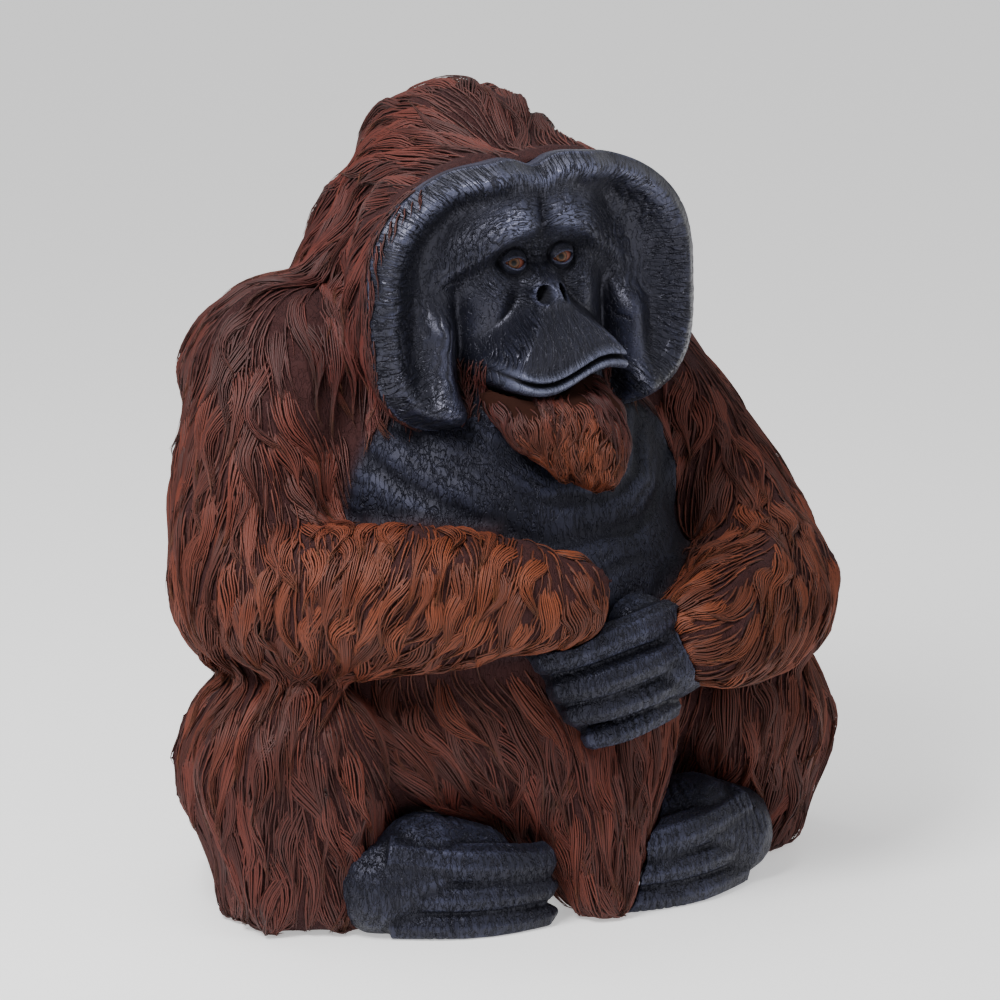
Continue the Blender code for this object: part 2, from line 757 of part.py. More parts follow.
def surface_tree(obj):
    corners = [v.co.copy() for v in obj.data.vertices]
    return BVHTree.FromPolygons(corners, [p.vertices[:] for p in obj.data.polygons])


def is_covered(tree, place, margin):
    spot, normal, _, distance = tree.find_nearest(place)
    return distance < margin or (place - spot).dot(normal) < 0


def comb(obj, count, length, width, spacing, rng, covers, clear_of, skip=None, wrap=UNION_WRAP):
    """Lays carved locks over what stays open to view of the object and fuses them in."""
    sunk = [v.co - v.normal * SKIN_INSET for v in obj.data.vertices]
    for vertex, place in zip(obj.data.vertices, sunk):
        vertex.co = place
    tree = surface_tree(obj)
    hidden_by = [surface_tree(o) for o in covers]
    bare = [surface_tree(o) for o in clear_of]
    guides = lie_guides()
    faces = list(obj.data.polygons)
    areas = [f.area for f in faces]
    placed = []
    locks = []
    for _ in range(count * 60):
        if len(placed) == count:
            break
        spot = rng.choices(faces, areas)[0].center.copy()
        if spot.z < 0.045 or (skip and skip(spot)):
            continue
        if any((spot - p).length < spacing for p in placed):
            continue
        if any(is_covered(other, spot, 0.012) for other in hidden_by):
            continue
        scale = rng.uniform(0.8, 1.15)
        swing = rng.uniform(-0.5, 0.5)
        for reach in (length * scale, length * 0.55):
            path = lock_path(tree, guides, spot, reach, swing)
            blocked = any(is_covered(other, step[0], 0.010) for other in bare for step in path)
            if not blocked:
                break
        if blocked:
            continue
        placed.append(spot)
        bm = bmesh.new()
        add_lock(bm, tree, path, width * scale, rng.choice((-0.35, 0.35)))
        bmesh.ops.recalc_face_normals(bm, faces=bm.faces)
        locks.append(place_mesh("lock", bm))
    unite(obj, locks, *wrap)


def dress(obj, looks):
    """Gives the node its own material, chosen by what its name starts with."""
    look = next(look for start, look in looks if obj.name.startswith(start))
    obj.data.materials.clear()
    obj.data.materials.append(paint(obj.name, look))
    obj.data.shade_smooth()
    obj.data.set_sharp_from_angle(angle=math.radians(35))


def build_hand_left():
    palm = fuse("hand_left", [], [PALM_LEFT], 0.006, 4, 260)
    fingers = []
    for i, (points, radius) in enumerate(FINGERS):
        curl = Vector(points[-1]) + Vector(FINGER_CURL)
        fingers.append(digit(f"finger_left_{i + 1}", [*points, curl], radius))
    return palm, fingers


def build_foot(side_name, side):
    rows = [((side * c[0], c[1], c[2]), r) for c, r in INSTEP]
    instep = fuse(f"foot_{side_name}", [], [rows], 0.006, 4, 260)
    toes = []
    for i, (points, radius) in enumerate(TOES):
        placed = [(side * x, y, z) for x, y, z in points]
        toes.append(digit(f"toe_{side_name}_{i + 1}", placed, radius))
    return instep, toes


def build_beard():
    return fuse("beard", BEARD, [BEARD_TIP], 0.006, 4, 420)


def part_face(face):
    """Parts the face into its two flanges, brow, middle, muzzle and lower lip."""
    frame = head_frame()
    turn = frame.to_3x3()

    def cut(obj, u, v, normal, ahead, behind):
        return part(obj, frame @ Vector((u, v, 0)), turn @ Vector(normal), ahead, behind)

    flange_left, rest = cut(face, FLANGE_LINE, 0, (1, 0, 0), "flange_left", "face")
    flange_right, rest = cut(rest, -FLANGE_LINE, 0, (-1, 0, 0), "flange_right", "face")
    brow, rest = cut(rest, 0, BROW_LINE, (0, 1, 0), "brow", "face")
    middle, rest = cut(rest, 0, NOSE_LINE, (0, 1, 0), "nose", "face")
    cut(rest, 0, MOUTH_HEIGHT, MOUTH_CUT, "muzzle", "lower_lip")


def part_head(head):
    crown, rest = part(head, *CROWN_CUT, "crown", "mane")
    nape, rest = part(rest, (0, NAPE_LINE, 0), (0, 1, 0), "nape", "mane")
    part(rest, (0, 0, 0), (1, 0, 0), "mane_left", "mane_right")


def part_trunk(trunk):
    """Parts the trunk into torso pieces, lap, rump, knees and thighs."""
    torso, seat = part(trunk, (0, 0, WAIST_HEIGHT), (0, 0, 1), "torso", "seat")
    back, front = part(torso, (0, BACK_LINE, 0), (0, 1, 0), "back", "front")
    part(back, (0, 0, SHOULDER_HEIGHT), (0, 0, 1), "shoulders", "lower_back")
    part(front, (0, 0, THROAT_HEIGHT), (0, 0, 1), "throat", "belly")
    leg_left, seat = part(seat, (LEG_LINE, 0, 0), (1, 0, 0), "leg_left", "seat")
    leg_right, seat = part(seat, (-LEG_LINE, 0, 0), (-1, 0, 0), "leg_right", "seat")
    part(seat, (0, LAP_LINE, 0), (0, 1, 0), "rump", "lap")
    part(leg_left, (0, KNEE_LINE, 0), (0, 1, 0), "thigh_left", "knee_left")
    part(leg_right, (0, KNEE_LINE, 0), (0, 1, 0), "thigh_right", "knee_right")


def main():
    clear_scene()
    rng = random.Random(LOCK_SEED)

    # Wholes, each with its coat carved on
    eyes = [build_eye("eye_right", -1), build_eye("eye_left", 1)]
    face = build_face()
    beard = build_beard()
    head = fuse("head", SKULL + mane_balls(), [], 0.008, 5, 900)
    arm_right = fuse("arm_right", [], [ARM_RIGHT], 0.008, 5, 700)
    arm_left = fuse("arm_left", [], [ARM_LEFT], 0.008, 5, 700)
    hand_left, fingers = build_hand_left()
    hand_right = fuse("hand_right", [], [PALM_RIGHT], 0.006, 4, 160)
    feet = []
    toes = []
    for side_name, side in (("right", -1), ("left", 1)):
        foot, own_toes = build_foot(side_name, side)
        feet.append(foot)
        toes += own_toes
    trunk = fuse("trunk", TRUNK, [*LAP, LEG_RIGHT, LEG_LEFT], 0.009, 6, 2200)
    hands = [hand_left, hand_right, *fingers]

    bare = [face, *hands, *feet, *toes]
    comb(trunk, 110, 0.180, 0.080, 0.068, rng, [*bare, head, arm_right, arm_left], bare, is_bare_chest)
    comb(head, 38, 0.155, 0.066, 0.058, rng, [face, trunk], [face])
    comb(arm_right, 34, 0.130, 0.062, 0.050, rng, [trunk, *hands], hands)
    comb(arm_left, 30, 0.130, 0.062, 0.050, rng, [trunk, *hands], hands)
    beard_rng = random.Random(BEARD_SEED)
    comb(beard, 16, 0.075, 0.034, 0.019, beard_rng, [face], [], wrap=BEARD_WRAP)
    thin(trunk, 3100)
    thin(head, 1160)
    thin(arm_right, 1000)
    thin(arm_left, 910)
    thin(beard, 460)

    # Fits, from the coarsest mass to the finest
    clip_at_floor(trunk)
    for piece in (*feet, *toes):
        clip_at_floor(piece)
    fit_in_turn([trunk, *eyes, face, head, beard, arm_right, arm_left, *hands, *feet, *toes])

    # Parts a person would name
    part_face(face)
    part_head(head)
    part(arm_right, *ELBOW_RIGHT, "forearm_right", "upper_arm_right")
    part(arm_left, *ELBOW_LEFT, "forearm_left", "upper_arm_left")
    part_trunk(trunk)

    # Standing centred on the origin, on the floor
    nodes = [obj for obj in bpy.data.objects if obj.type == "MESH"]
    corners = [v.co for obj in nodes for v in obj.data.vertices]
    low = Vector(min(c[i] for c in corners) for i in range(3))
    high = Vector(max(c[i] for c in corners) for i in range(3))
    shift = Vector((-(low.x + high.x) / 2, -(low.y + high.y) / 2, -low.z))
    for obj in nodes:
        obj.data.transform(Matrix.Translation(shift))
        dress(obj, PAINT)


if __name__ == "__main__":
    main()
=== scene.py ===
import math

import bmesh
import bpy
import numpy as np
from mathutils import Euler, Matrix, Vector, noise
from mathutils.bvhtree import BVHTree


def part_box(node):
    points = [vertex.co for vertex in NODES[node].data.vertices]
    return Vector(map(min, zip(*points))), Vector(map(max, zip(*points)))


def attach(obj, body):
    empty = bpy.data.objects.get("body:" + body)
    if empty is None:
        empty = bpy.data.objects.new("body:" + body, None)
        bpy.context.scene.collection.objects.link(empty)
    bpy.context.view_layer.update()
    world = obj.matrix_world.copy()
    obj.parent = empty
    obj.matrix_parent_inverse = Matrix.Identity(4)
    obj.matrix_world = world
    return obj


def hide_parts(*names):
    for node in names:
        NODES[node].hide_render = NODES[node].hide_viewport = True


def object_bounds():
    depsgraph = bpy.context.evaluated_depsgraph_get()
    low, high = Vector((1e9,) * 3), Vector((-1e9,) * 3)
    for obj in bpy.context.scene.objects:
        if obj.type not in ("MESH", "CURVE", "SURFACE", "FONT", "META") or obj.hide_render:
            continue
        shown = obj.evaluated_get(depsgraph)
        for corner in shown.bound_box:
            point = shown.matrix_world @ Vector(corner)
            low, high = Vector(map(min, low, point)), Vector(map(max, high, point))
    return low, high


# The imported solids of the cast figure. Every piece below is built round them and takes
# their place.
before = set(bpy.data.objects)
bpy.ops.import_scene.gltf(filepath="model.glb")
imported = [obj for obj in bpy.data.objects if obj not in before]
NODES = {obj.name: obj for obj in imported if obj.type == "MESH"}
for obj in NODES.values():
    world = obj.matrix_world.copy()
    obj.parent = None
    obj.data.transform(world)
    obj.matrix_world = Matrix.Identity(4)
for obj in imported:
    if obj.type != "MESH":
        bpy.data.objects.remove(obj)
cad_box = [list(corner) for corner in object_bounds()]
COARSE = 1.0


# Studio: a pale floor that glows a little under an even white sky, a soft key lamp from
# the upper left front, a weaker fill from the right, a lamp over the back, and the
# camera at the photograph's height and side.
CAMERA_YAW = math.radians(27.0)
CAMERA_PITCH = math.radians(14.0)
CAMERA_DISTANCE = 6.0
CAMERA_AIM = Vector((-0.004, 0.002, 0.423))
PIXELS_PER_METRE = 900.0
PICTURE_WIDTH = 1000
LAMP_CENTRE = Vector((0, 0, 0.4))
LAMP_AIM = (0, 0, 0.45)
WHITE = (1.0, 1.0, 1.0)
SKY_STRENGTH = 0.52
FLOOR_GLOW = 0.52
FLOOR_WIDTH = 14


def looking(yaw, pitch):
    """The way from the figure to a viewer at that yaw to its right and that height."""
    level = math.cos(pitch)
    return Vector((-math.sin(yaw) * level, -math.cos(yaw) * level, math.sin(pitch)))


def aim(obj, place, target):
    obj.location = place
    obj.rotation_euler = (Vector(target) - Vector(place)).to_track_quat("-Z", "Y").to_euler()
    bpy.context.scene.collection.objects.link(obj)


camera = bpy.data.cameras.new("camera")
camera.sensor_width = 36.0
camera.lens = camera.sensor_width * PIXELS_PER_METRE * CAMERA_DISTANCE / PICTURE_WIDTH
camera_object = bpy.data.objects.new("camera", camera)
camera_place = CAMERA_AIM + looking(CAMERA_YAW, CAMERA_PITCH) * CAMERA_DISTANCE
aim(camera_object, camera_place, CAMERA_AIM)
bpy.context.scene.camera = camera_object

# Bearing to the figure's right and height in degrees, then distance, width and power
for name, yaw, pitch, distance, size, power in (
    ("key", 62, 48, 2.6, 1.0, 86.0),
    ("fill", -35, 22, 3.2, 2.2, 16.0),
    ("top", 150, 70, 2.6, 1.6, 26.0),
):
    lamp = bpy.data.lights.new(name, "AREA")
    lamp.size = size
    lamp.energy = power
    place = looking(math.radians(yaw), math.radians(pitch)) * distance + LAMP_CENTRE
    aim(bpy.data.objects.new(name, lamp), place, LAMP_AIM)

world = bpy.data.worlds.new("studio")
bpy.context.scene.world = world
world.use_nodes = True
sky = world.node_tree.nodes["Background"].inputs
sky["Color"].default_value = (*WHITE, 1.0)
sky["Strength"].default_value = SKY_STRENGTH


class Wire:
    """A socket of a material's node tree, so that sums read as plain expressions."""

    def __init__(self, paint, socket):
        self.paint = paint
        self.socket = socket

    def maths(self, operation, *others):
        values = dict(enumerate((self, *others)))
        return self.paint.add("ShaderNodeMath", {"operation": operation}, values)

    def __add__(self, other):
        return self.maths("ADD", other)

    def __sub__(self, other):
        return self.maths("SUBTRACT", other)

    def __rsub__(self, other):
        return self.maths("MULTIPLY_ADD", -1.0, other)

    def __mul__(self, other):
        return self.maths("MULTIPLY", other)

    def __abs__(self):
        return self.maths("ABSOLUTE")

    __radd__ = __add__
    __rmul__ = __mul__

    def between(self, low, high):
        """0 below low, 1 above high and smooth in between."""
        span = {"interpolation_type": "SMOOTHSTEP"}
        values = {"Value": self, "From Min": low, "From Max": high}
        return self.paint.add("ShaderNodeMapRange", span, values)


class Paint:
    """A material and the nodes that are laid in it."""

    def __init__(self, name):
        self.material = bpy.data.materials.new(name)
        self.material.use_nodes = True
        self.tree = self.material.node_tree
        self.shader = self.tree.nodes["Principled BSDF"]

    def add(self, kind, settings=None, values=None, output=0):
        """Adds a node: its settings first, then the values or wires of its sockets."""
        node = self.tree.nodes.new(kind)
        for key, value in (settings or {}).items():
            if key == "stops":
                stops = node.color_ramp.elements
                stops[0].color, stops[1].color = (*value[0][1], 1.0), (*value[-1][1], 1.0)
                for place, colour in value[1:-1]:
                    stops.new(place).color = (*colour, 1.0)
            else:
                setattr(node, key, value)
        for key, value in (values or {}).items():
            self.plug(node.inputs[key], value)
        return Wire(self, node.outputs[output])

    def plug(self, socket, value):
        if isinstance(value, Wire):
            self.tree.links.new(value.socket, socket)
        elif isinstance(value, tuple) and socket.type == "RGBA":
            socket.default_value = (*value, 1.0)
        else:
            socket.default_value = value

    def set(self, **values):
        for key, value in values.items():
            self.plug(self.shader.inputs[key.replace("_", " ")], value)

    def number(self, name):
        return self.add("ShaderNodeAttribute", {"attribute_name": name}, output="Fac")

    def vector(self, name):
        return self.add("ShaderNodeAttribute", {"attribute_name": name}, output="Vector")

    def place(self):
        return self.add("ShaderNodeTexCoord", output="Object")

    def cloud(self, scale, detail=3.0):
        """Soft noise over the figure, with about that many lumps to the metre."""
        return self.add("ShaderNodeTexNoise", {}, {"Vector": self.place(), "Scale": scale, "Detail": detail})

    def wrinkles(self, where, pitch, stretch=(1.0, 1.0, 1.0), turn=0.0, width=0.045):
        """0 in the grooves of wrinkled skin and 1 on the land between them."""
        turned = {"Vector": where, "Scale": stretch, "Rotation": Euler((0.0, turn, 0.0))}
        where = self.add("ShaderNodeMapping", {}, turned)
        values = {"Vector": where, "Scale": 0.8 / pitch, "Detail": 2.0, "Distortion": 0.5}
        return abs(self.add("ShaderNodeTexNoise", {}, values) - 0.5).between(0.0, width)

    def blend(self, share, low, high):
        """Mixes two colours: the node's sockets 6, 7 and 2 are its colour ones."""
        node = self.tree.nodes.new("ShaderNodeMix")
        node.data_type = "RGBA"
        self.plug(node.inputs[0], share)
        self.plug(node.inputs[6], low)
        self.plug(node.inputs[7], high)
        return Wire(self, node.outputs[2])

    def bump(self, height, distance, strength=1.0):
        values = {"Height": height, "Distance": distance, "Strength": strength}
        return self.add("ShaderNodeBump", {}, values)


floor_paint = Paint("pale_floor")
floor_paint.set(Base_Color=(0.92, 0.92, 0.92), Roughness=0.6)
floor_paint.set(Emission_Color=WHITE, Emission_Strength=FLOOR_GLOW)
bpy.ops.mesh.primitive_plane_add(size=FLOOR_WIDTH)
floor = bpy.context.object
floor.name = "floor"
floor.data.materials.append(floor_paint.material)


# Skin: the casting itself, one hollow shell of glass-fibre resin with the bare chest
# folded and creased. It is primed blue-black and dry-brushed grey where bare, and
# painted a dark red-brown under the carved coat.
SKIN_VOXEL = 0.0058 * COARSE
SKIN_INSET = 0.0055
BARE_NODES = ["throat", "belly"]
COAT_NODES = ["crown", "nape", "mane_right", "mane_left", "shoulders", "lower_back", "rump", "lap"]
for side in ("right", "left"):
    COAT_NODES += [f"{part}_{side}" for part in ("upper_arm", "forearm", "knee", "thigh")]
CHEST_HALF_WIDTH = 0.21
CHEST_BACK = -0.02
CHEST_FOOT, CHEST_TOP = 0.30, 0.64
FACE_CENTRE = Vector((0.006, -0.085, 0.687))
FACE_ROLL = math.radians(-2.0)
EYE = (0.0288, 0.0265)
EYE_DEPTH = -0.0115
FOLD_CENTRE = (0.020, 0.600)
FOLD_PITCH = 0.047
FOLD_DEPTH = 0.0052
FINE_FOLD_PITCH = FOLD_PITCH * 0.27
FINE_FOLD_DEPTH = 0.0015
SKIN_DARK = (0.0026, 0.0028, 0.0052)
SKIN_WORN = (0.0056, 0.0060, 0.0104)
SKIN_BRUSHED = (0.042, 0.046, 0.082)
SKIN_SHEEN = (0.80, 0.80, 1.0)
COAT_GROUND = (0.0320, 0.0094, 0.0070)
# Pitch, stretch and turn of two sets of wrinkles that cross
CHEST_SKIN = {
    "wrinkles": ((0.0060, (1.0, 0.7, 0.30), 0.70), (0.0050, (1.0, 0.7, 0.28), -0.55)),
    "brushed": 0.50, "rough": 0.46, "relief": 0.0022, "shine": 0.27, "coated": True,
}

# The face's own frame, u to the figure's left, v up and w forward, lies where the
# packed eyes are, which also tells how far packing shifted the figure.
face_axes = Matrix(((1, 0, 0), (0, 0, -1), (0, 1, 0))).to_4x4()
unmoved_face = Matrix.Translation(FACE_CENTRE) @ Matrix.Rotation(FACE_ROLL, 4, "Y") @ face_axes
eye_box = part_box("eye_left")
eye_middle = (Vector(eye_box[0]) + Vector(eye_box[1])) / 2
SHIFT = eye_middle - unmoved_face @ Vector((EYE[0], EYE[1], EYE_DEPTH))
FACE = Matrix.Translation(SHIFT) @ unmoved_face


def read(items, key, width, kind=np.float32):
    """What each of a mesh's corners, edges or triangles holds under a key, row by row."""
    flat = np.empty(len(items) * width, dtype=kind)
    items.foreach_get(key, flat)
    return flat.reshape(-1, width)


def corners_of(obj):
    return read(obj.data.vertices, "co", 3).astype(np.float64)


def normals_of(obj):
    return read(obj.data.vertex_normals, "vector", 3).astype(np.float64)


def thirds_of(obj):
    """The three corners of each of an object's triangles."""
    obj.data.calc_loop_triangles()
    return read(obj.data.loop_triangles, "vertices", 3, int)


def triangles_of(names):
    """Corner places, triangles and owners of CAD nodes, as one surface."""
    places, faces, owners, count = [], [], [], 0
    for name in names:
        places.append(corners_of(NODES[name]))
        faces.append(thirds_of(NODES[name]) + count)
        owners += [name] * len(faces[-1])
        count += len(places[-1])
    return np.concatenate(places), np.concatenate(faces), owners


def mesh_object(name, places, faces):
    mesh = bpy.data.meshes.new(name)
    mesh.from_pydata([tuple(p) for p in places], [], [tuple(int(i) for i in f) for f in faces])
    obj = bpy.data.objects.new(name, mesh)
    bpy.context.scene.collection.objects.link(obj)
    return obj


def freeze(obj):
    """Turns the object's modifiers into plain mesh."""
    graph = bpy.context.evaluated_depsgraph_get()
    mesh = bpy.data.meshes.new_from_object(obj.evaluated_get(graph))
    obj.modifiers.clear()
    obj.data = mesh


def wrap(name, nodes, voxel, smooth, inset):
    """One closed skin round CAD nodes, smoothed and drawn in by the inset. Of what the
    remesh leaves, only the largest island stays."""
    places, faces, _ = triangles_of(nodes)
    obj = mesh_object(name, places, faces)
    bm = bmesh.new()
    bm.from_mesh(obj.data)
    bmesh.ops.remove_doubles(bm, verts=bm.verts, dist=0.00001)
    bm.to_mesh(obj.data)
    bm.free()
    # A slight swell first closes the hairline gaps between the nodes
    closing = 0.0006
    swell = obj.modifiers.new("swell", "DISPLACE")
    swell.strength = closing
    swell.mid_level = 0.0
    remesh = obj.modifiers.new("remesh", "REMESH")
    remesh.mode = "VOXEL"
    remesh.voxel_size = voxel
    relax = obj.modifiers.new("relax", "SMOOTH")
    relax.factor = 0.5
    relax.iterations = smooth
    shrink = obj.modifiers.new("shrink", "DISPLACE")
    shrink.strength = -inset - closing
    shrink.mid_level = 0.0
    freeze(obj)
    bm = bmesh.new()
    bm.from_mesh(obj.data)
    unseen = set(bm.verts)
    islands = []
    while unseen:
        island = [unseen.pop()]
        for vert in island:
            near = {e.other_vert(vert) for e in vert.link_edges} & unseen
            unseen -= near
            island.extend(near)
        islands.append(island)
    islands.sort(key=len)
    spare = [v for island in islands[:-1] for v in island]
    bmesh.ops.delete(bm, geom=spare, context="VERTS")
    bm.to_mesh(obj.data)
    bm.free()
    return obj


def soften(obj, values, rounds, keep=0.3):
    """Averages per-corner values over the mesh's edges, some rounds over."""
    ends = read(obj.data.edges, "vertices", 2, int)
    columns = values.reshape(len(values), -1).astype(np.float64)
    count = np.maximum(np.bincount(ends.ravel(), minlength=len(columns)), 1)
    for _ in range(rounds):
        for k in range(columns.shape[1]):
            total = np.bincount(ends[:, 0], columns[ends[:, 1], k], len(columns))
            total += np.bincount(ends[:, 1], columns[ends[:, 0], k], len(columns))
            columns[:, k] = columns[:, k] * keep + total / count * (1 - keep)
    return columns.reshape(values.shape)


def store(obj, name, values):
    """Stores one number, or three, for each corner of the object's mesh."""
    values = np.asarray(values, dtype=np.float32)
    kind, key = ("FLOAT", "value") if values.ndim == 1 else ("FLOAT_VECTOR", "vector")
    obj.data.attributes.new(name, kind, "POINT").data.foreach_set(key, values.ravel())


def store_crest(obj, rounds, span):
    """Stores how far each point stands out of the surface round it, from 0 to 1."""
    start = corners_of(obj)
    out = ((start - soften(obj, start, rounds)) * normals_of(obj)).sum(axis=1)
    store(obj, "crest", np.clip(0.5 + out / span, 0.0, 1.0))


def push_out(obj, amounts):
    """Moves each corner along its normal by its own amount."""
    places = corners_of(obj) + normals_of(obj) * amounts[:, None]
    obj.data.vertices.foreach_set("co", places.astype(np.float32).ravel())
    obj.data.update()


def hump(value, centre, width):
    return np.exp(-(((value - centre) / width) ** 2))


def rise(value, low, high):
    t = np.clip((value - low) / (high - low), 0.0, 1.0)
    return t * t * (3 - 2 * t)


def grooves(x, sharp=4):
    """Grooves at whole numbers: 1 at the bottom of each and 0 on the land."""
    return (0.5 + 0.5 * np.cos(2 * np.pi * x)) ** sharp


def noise_at(places, scale):
    return np.array([noise.noise(Vector(p)) for p in np.asarray(places) * scale])


def chest_folds(places):
    """Slack folds that hang in bows below the beard, and finer ones between them."""
    x, z = places[:, 0], places[:, 2]
    wander = noise_at(places, 8.0) * 0.020 + noise_at(places, 25.0) * 0.006
    reach = np.hypot((x - FOLD_CENTRE[0]) * 0.80, z - FOLD_CENTRE[1]) + wander
    deep = grooves(reach / FOLD_PITCH, 3) * rise(noise_at(places, 6.0), -0.35, 0.15)
    small = grooves(reach / FINE_FOLD_PITCH + noise_at(places, 40.0) * 0.4)
    patchy = rise(noise_at(places, 17.0), -0.2, 0.3)
    return FOLD_DEPTH * deep + FINE_FOLD_DEPTH * small * patchy


def skin_paint(name, wrinkles, brushed, rough, relief, shine, coated):
    """Blue-black paint, dry-brushed where it stands out, over crossing wrinkles. The
    ground under the coat, where there is one, is red-brown and duller."""
    paint = Paint(name)
    crest = paint.number("crest")
    broad = paint.cloud(9.0, 4.0)
    fine = paint.cloud(420.0, 2.0)
    place = paint.place()
    first, second = wrinkles
    land = paint.wrinkles(place, *first) * 0.6 + paint.wrinkles(place, *second) * 0.4
    worn = (crest + (land - 0.7) * 0.40 + (fine - 0.5) * 0.40).between(0.46, 0.92)
    worn = worn * broad.between(0.25, 0.70)
    colour = paint.blend(broad, SKIN_DARK, SKIN_WORN)
    colour = paint.blend(worn * brushed, colour, SKIN_BRUSHED)
    height = land * 0.8 + fine * 0.2
    rough = rough + fine * 0.14
    if coated:
        under_coat = paint.number("under_coat")
        colour = paint.blend(under_coat, colour, COAT_GROUND)
        rough = rough + under_coat * 0.35
    paint.set(Base_Color=colour, Roughness=rough, Normal=paint.bump(height, relief, 0.9))
    paint.set(Specular_IOR_Level=shine, Specular_Tint=SKIN_SHEEN)
    return paint


body = wrap("skin", COAT_NODES + BARE_NODES, SKIN_VOXEL, 6, SKIN_INSET)
own_places, own_faces, own_names = triangles_of(COAT_NODES + BARE_NODES)
OWNER_TREE = BVHTree.FromPolygons(own_places.tolist(), own_faces.tolist())


def owner_of(place):
    return own_names[OWNER_TREE.find_nearest(place)[2]]


def is_bare(place):
    """Whether the coat leaves that place of the skin bare, as it does the chest."""
    x, y, z = place - SHIFT
    on_chest = abs(x) < CHEST_HALF_WIDTH and y < CHEST_BACK and CHEST_FOOT < z < CHEST_TOP
    return on_chest and owner_of(place) in BARE_NODES


bare = np.array([float(is_bare(Vector(p))) for p in corners_of(body)])
bare = soften(body, bare, 4)
push_out(body, -chest_folds(corners_of(body) - np.array(SHIFT)) * bare)
store_crest(body, 6, 0.0034)
store(body, "under_coat", 1 - bare)
body.data.materials.append(skin_paint("cast_skin", **CHEST_SKIN).material)
body.data.shade_smooth()
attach(body, "root")
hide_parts(*COAT_NODES, *BARE_NODES)


# Face: a wide disc of bare skin modelled in clay before casting, with rolled cheek
# flanges, heavy brow, short nose, deep muzzle and long lips, creased all over.
FACE_HALF_WIDTH = 0.199
# Above and below the middle of the face
FACE_HALF_HEIGHT = (0.143, 0.161)
SQUARENESS = (2.4, 3.8)
FACE_THICKNESS = 0.050
DISH_DEPTH = 0.026
RIM_HEIGHT = 0.031
RIM_PLACE = 0.900
RIM_INSIDE, RIM_OUTSIDE = 0.135, 0.085
ROLL_OUT = 0.116
ROLL_HEIGHT = 0.029
# A pair from here on is how far out from the middle line and how far up a place lies
BROW = (0.028, 0.070)
BROW_DROOP = 0.60
BROW_HEIGHT = 0.018
DOME_HEIGHT = 0.012
CHEEK_HEIGHT = 0.010
SOCKET_DEPTH = 0.025
EYE_RADIUS = 0.0135
EYE_GAP = (0.0124, 0.0060)
LID_THICKNESS = 0.0022
MOUTH_HALF_WIDTH = 0.075
MOUTH_HEIGHT = -0.0815
MOUTH_SLANT = 0.011
MOUTH_DEPTH = 0.0100
UPPER_LIP_HEIGHT = 0.0060
LOWER_LIP_HEIGHT = 0.0070
NOSE_REACH = 0.037
MUZZLE_REACH = 0.044
MUZZLE_TOP_HALF_WIDTH = 0.019
MUZZLE_SPREAD = 0.060
NOSTRIL = (0.0108, -0.0050)
NOSTRIL_DEPTH = 0.0240
NOSTRIL_ROLL_HEIGHT = 0.0007
# The wrinkles of each brow bow round this place
BROW_BOW = (0.030, 0.034)
RIM_CREASE_DEPTHS = (0.0015, 0.0012)
BROW_CREASE_DEPTH = 0.0015
DISH_CREASE_DEPTH = 0.0016
EYE_CREASE_DEPTH = 0.0008
FROWN_CREASE_DEPTH = 0.0012
FACE_RINGS = int(178 / COARSE)
FACE_SPOKES = int(430 / COARSE)
# Pale blue-grey of the painted highlight on the brow domes and the upper rim
HIGHLIGHT_PALE = (0.120, 0.130, 0.205)
LIP_PALE = (0.115, 0.125, 0.185)
NOSTRIL_PALE = (0.090, 0.096, 0.150)
# Near-black of the painted shade in the mouth line, the nostrils and round the eyes
PAINTED_SHADE_DARK = (0.0015, 0.0015, 0.0018)


def face_reach(angle):
    """How far the outline of the face lies from its middle, in each direction."""
    lower = (np.sin(angle) < 0).astype(int)
    power = np.array(SQUARENESS)[lower]
    tall = np.array(FACE_HALF_HEIGHT)[lower]
    across = np.abs(np.cos(angle) / FACE_HALF_WIDTH) ** power
    along = np.abs(np.sin(angle) / tall) ** power
    notch = 0.09 * hump(angle, np.pi / 2, 0.16) + 0.17 * hump(angle, -np.pi / 2, 0.42)
    return (across + along) ** (-1 / power) * (1 - notch)


def mouth_line(u):
    return MOUTH_HEIGHT + MOUTH_SLANT * np.sin(np.pi * np.clip(u, -0.085, 0.085) / MOUTH_HALF_WIDTH)


def brow_crest(side):
    return BROW[1] - BROW_DROOP * np.maximum(0.0, side - BROW[0])


def flange_forms(u, v, share):
    """The rolled rim, the dish inside it, and the roll and hollow beside the muzzle."""
    side = np.abs(u)
    rim_width = np.where(share < RIM_PLACE, RIM_INSIDE, RIM_OUTSIDE)
    under_chin = (1 - rise(side, 0.065, 0.105)) * rise(-v, 0.04, 0.09)
    rim = RIM_HEIGHT * (1 - 0.5 * hump(u, 0.0, 0.030)) * hump(share, RIM_PLACE, rim_width)
    roll = hump(side, ROLL_OUT, 0.021) * rise(-v, -0.005, 0.050) * (1 - rise(-v, 0.120, 0.152))
    depth = rim * (1 - under_chin) - DISH_DEPTH * rise(side, 0.050, 0.100)
    depth -= 0.014 * rise(v, 0.095, 0.145) * (1 - rise(side, 0.02, 0.07))
    hollow = 0.010 * hump(side, 0.088, 0.009) * rise(-v, -0.01, 0.03)
    return depth + ROLL_HEIGHT * roll - hollow


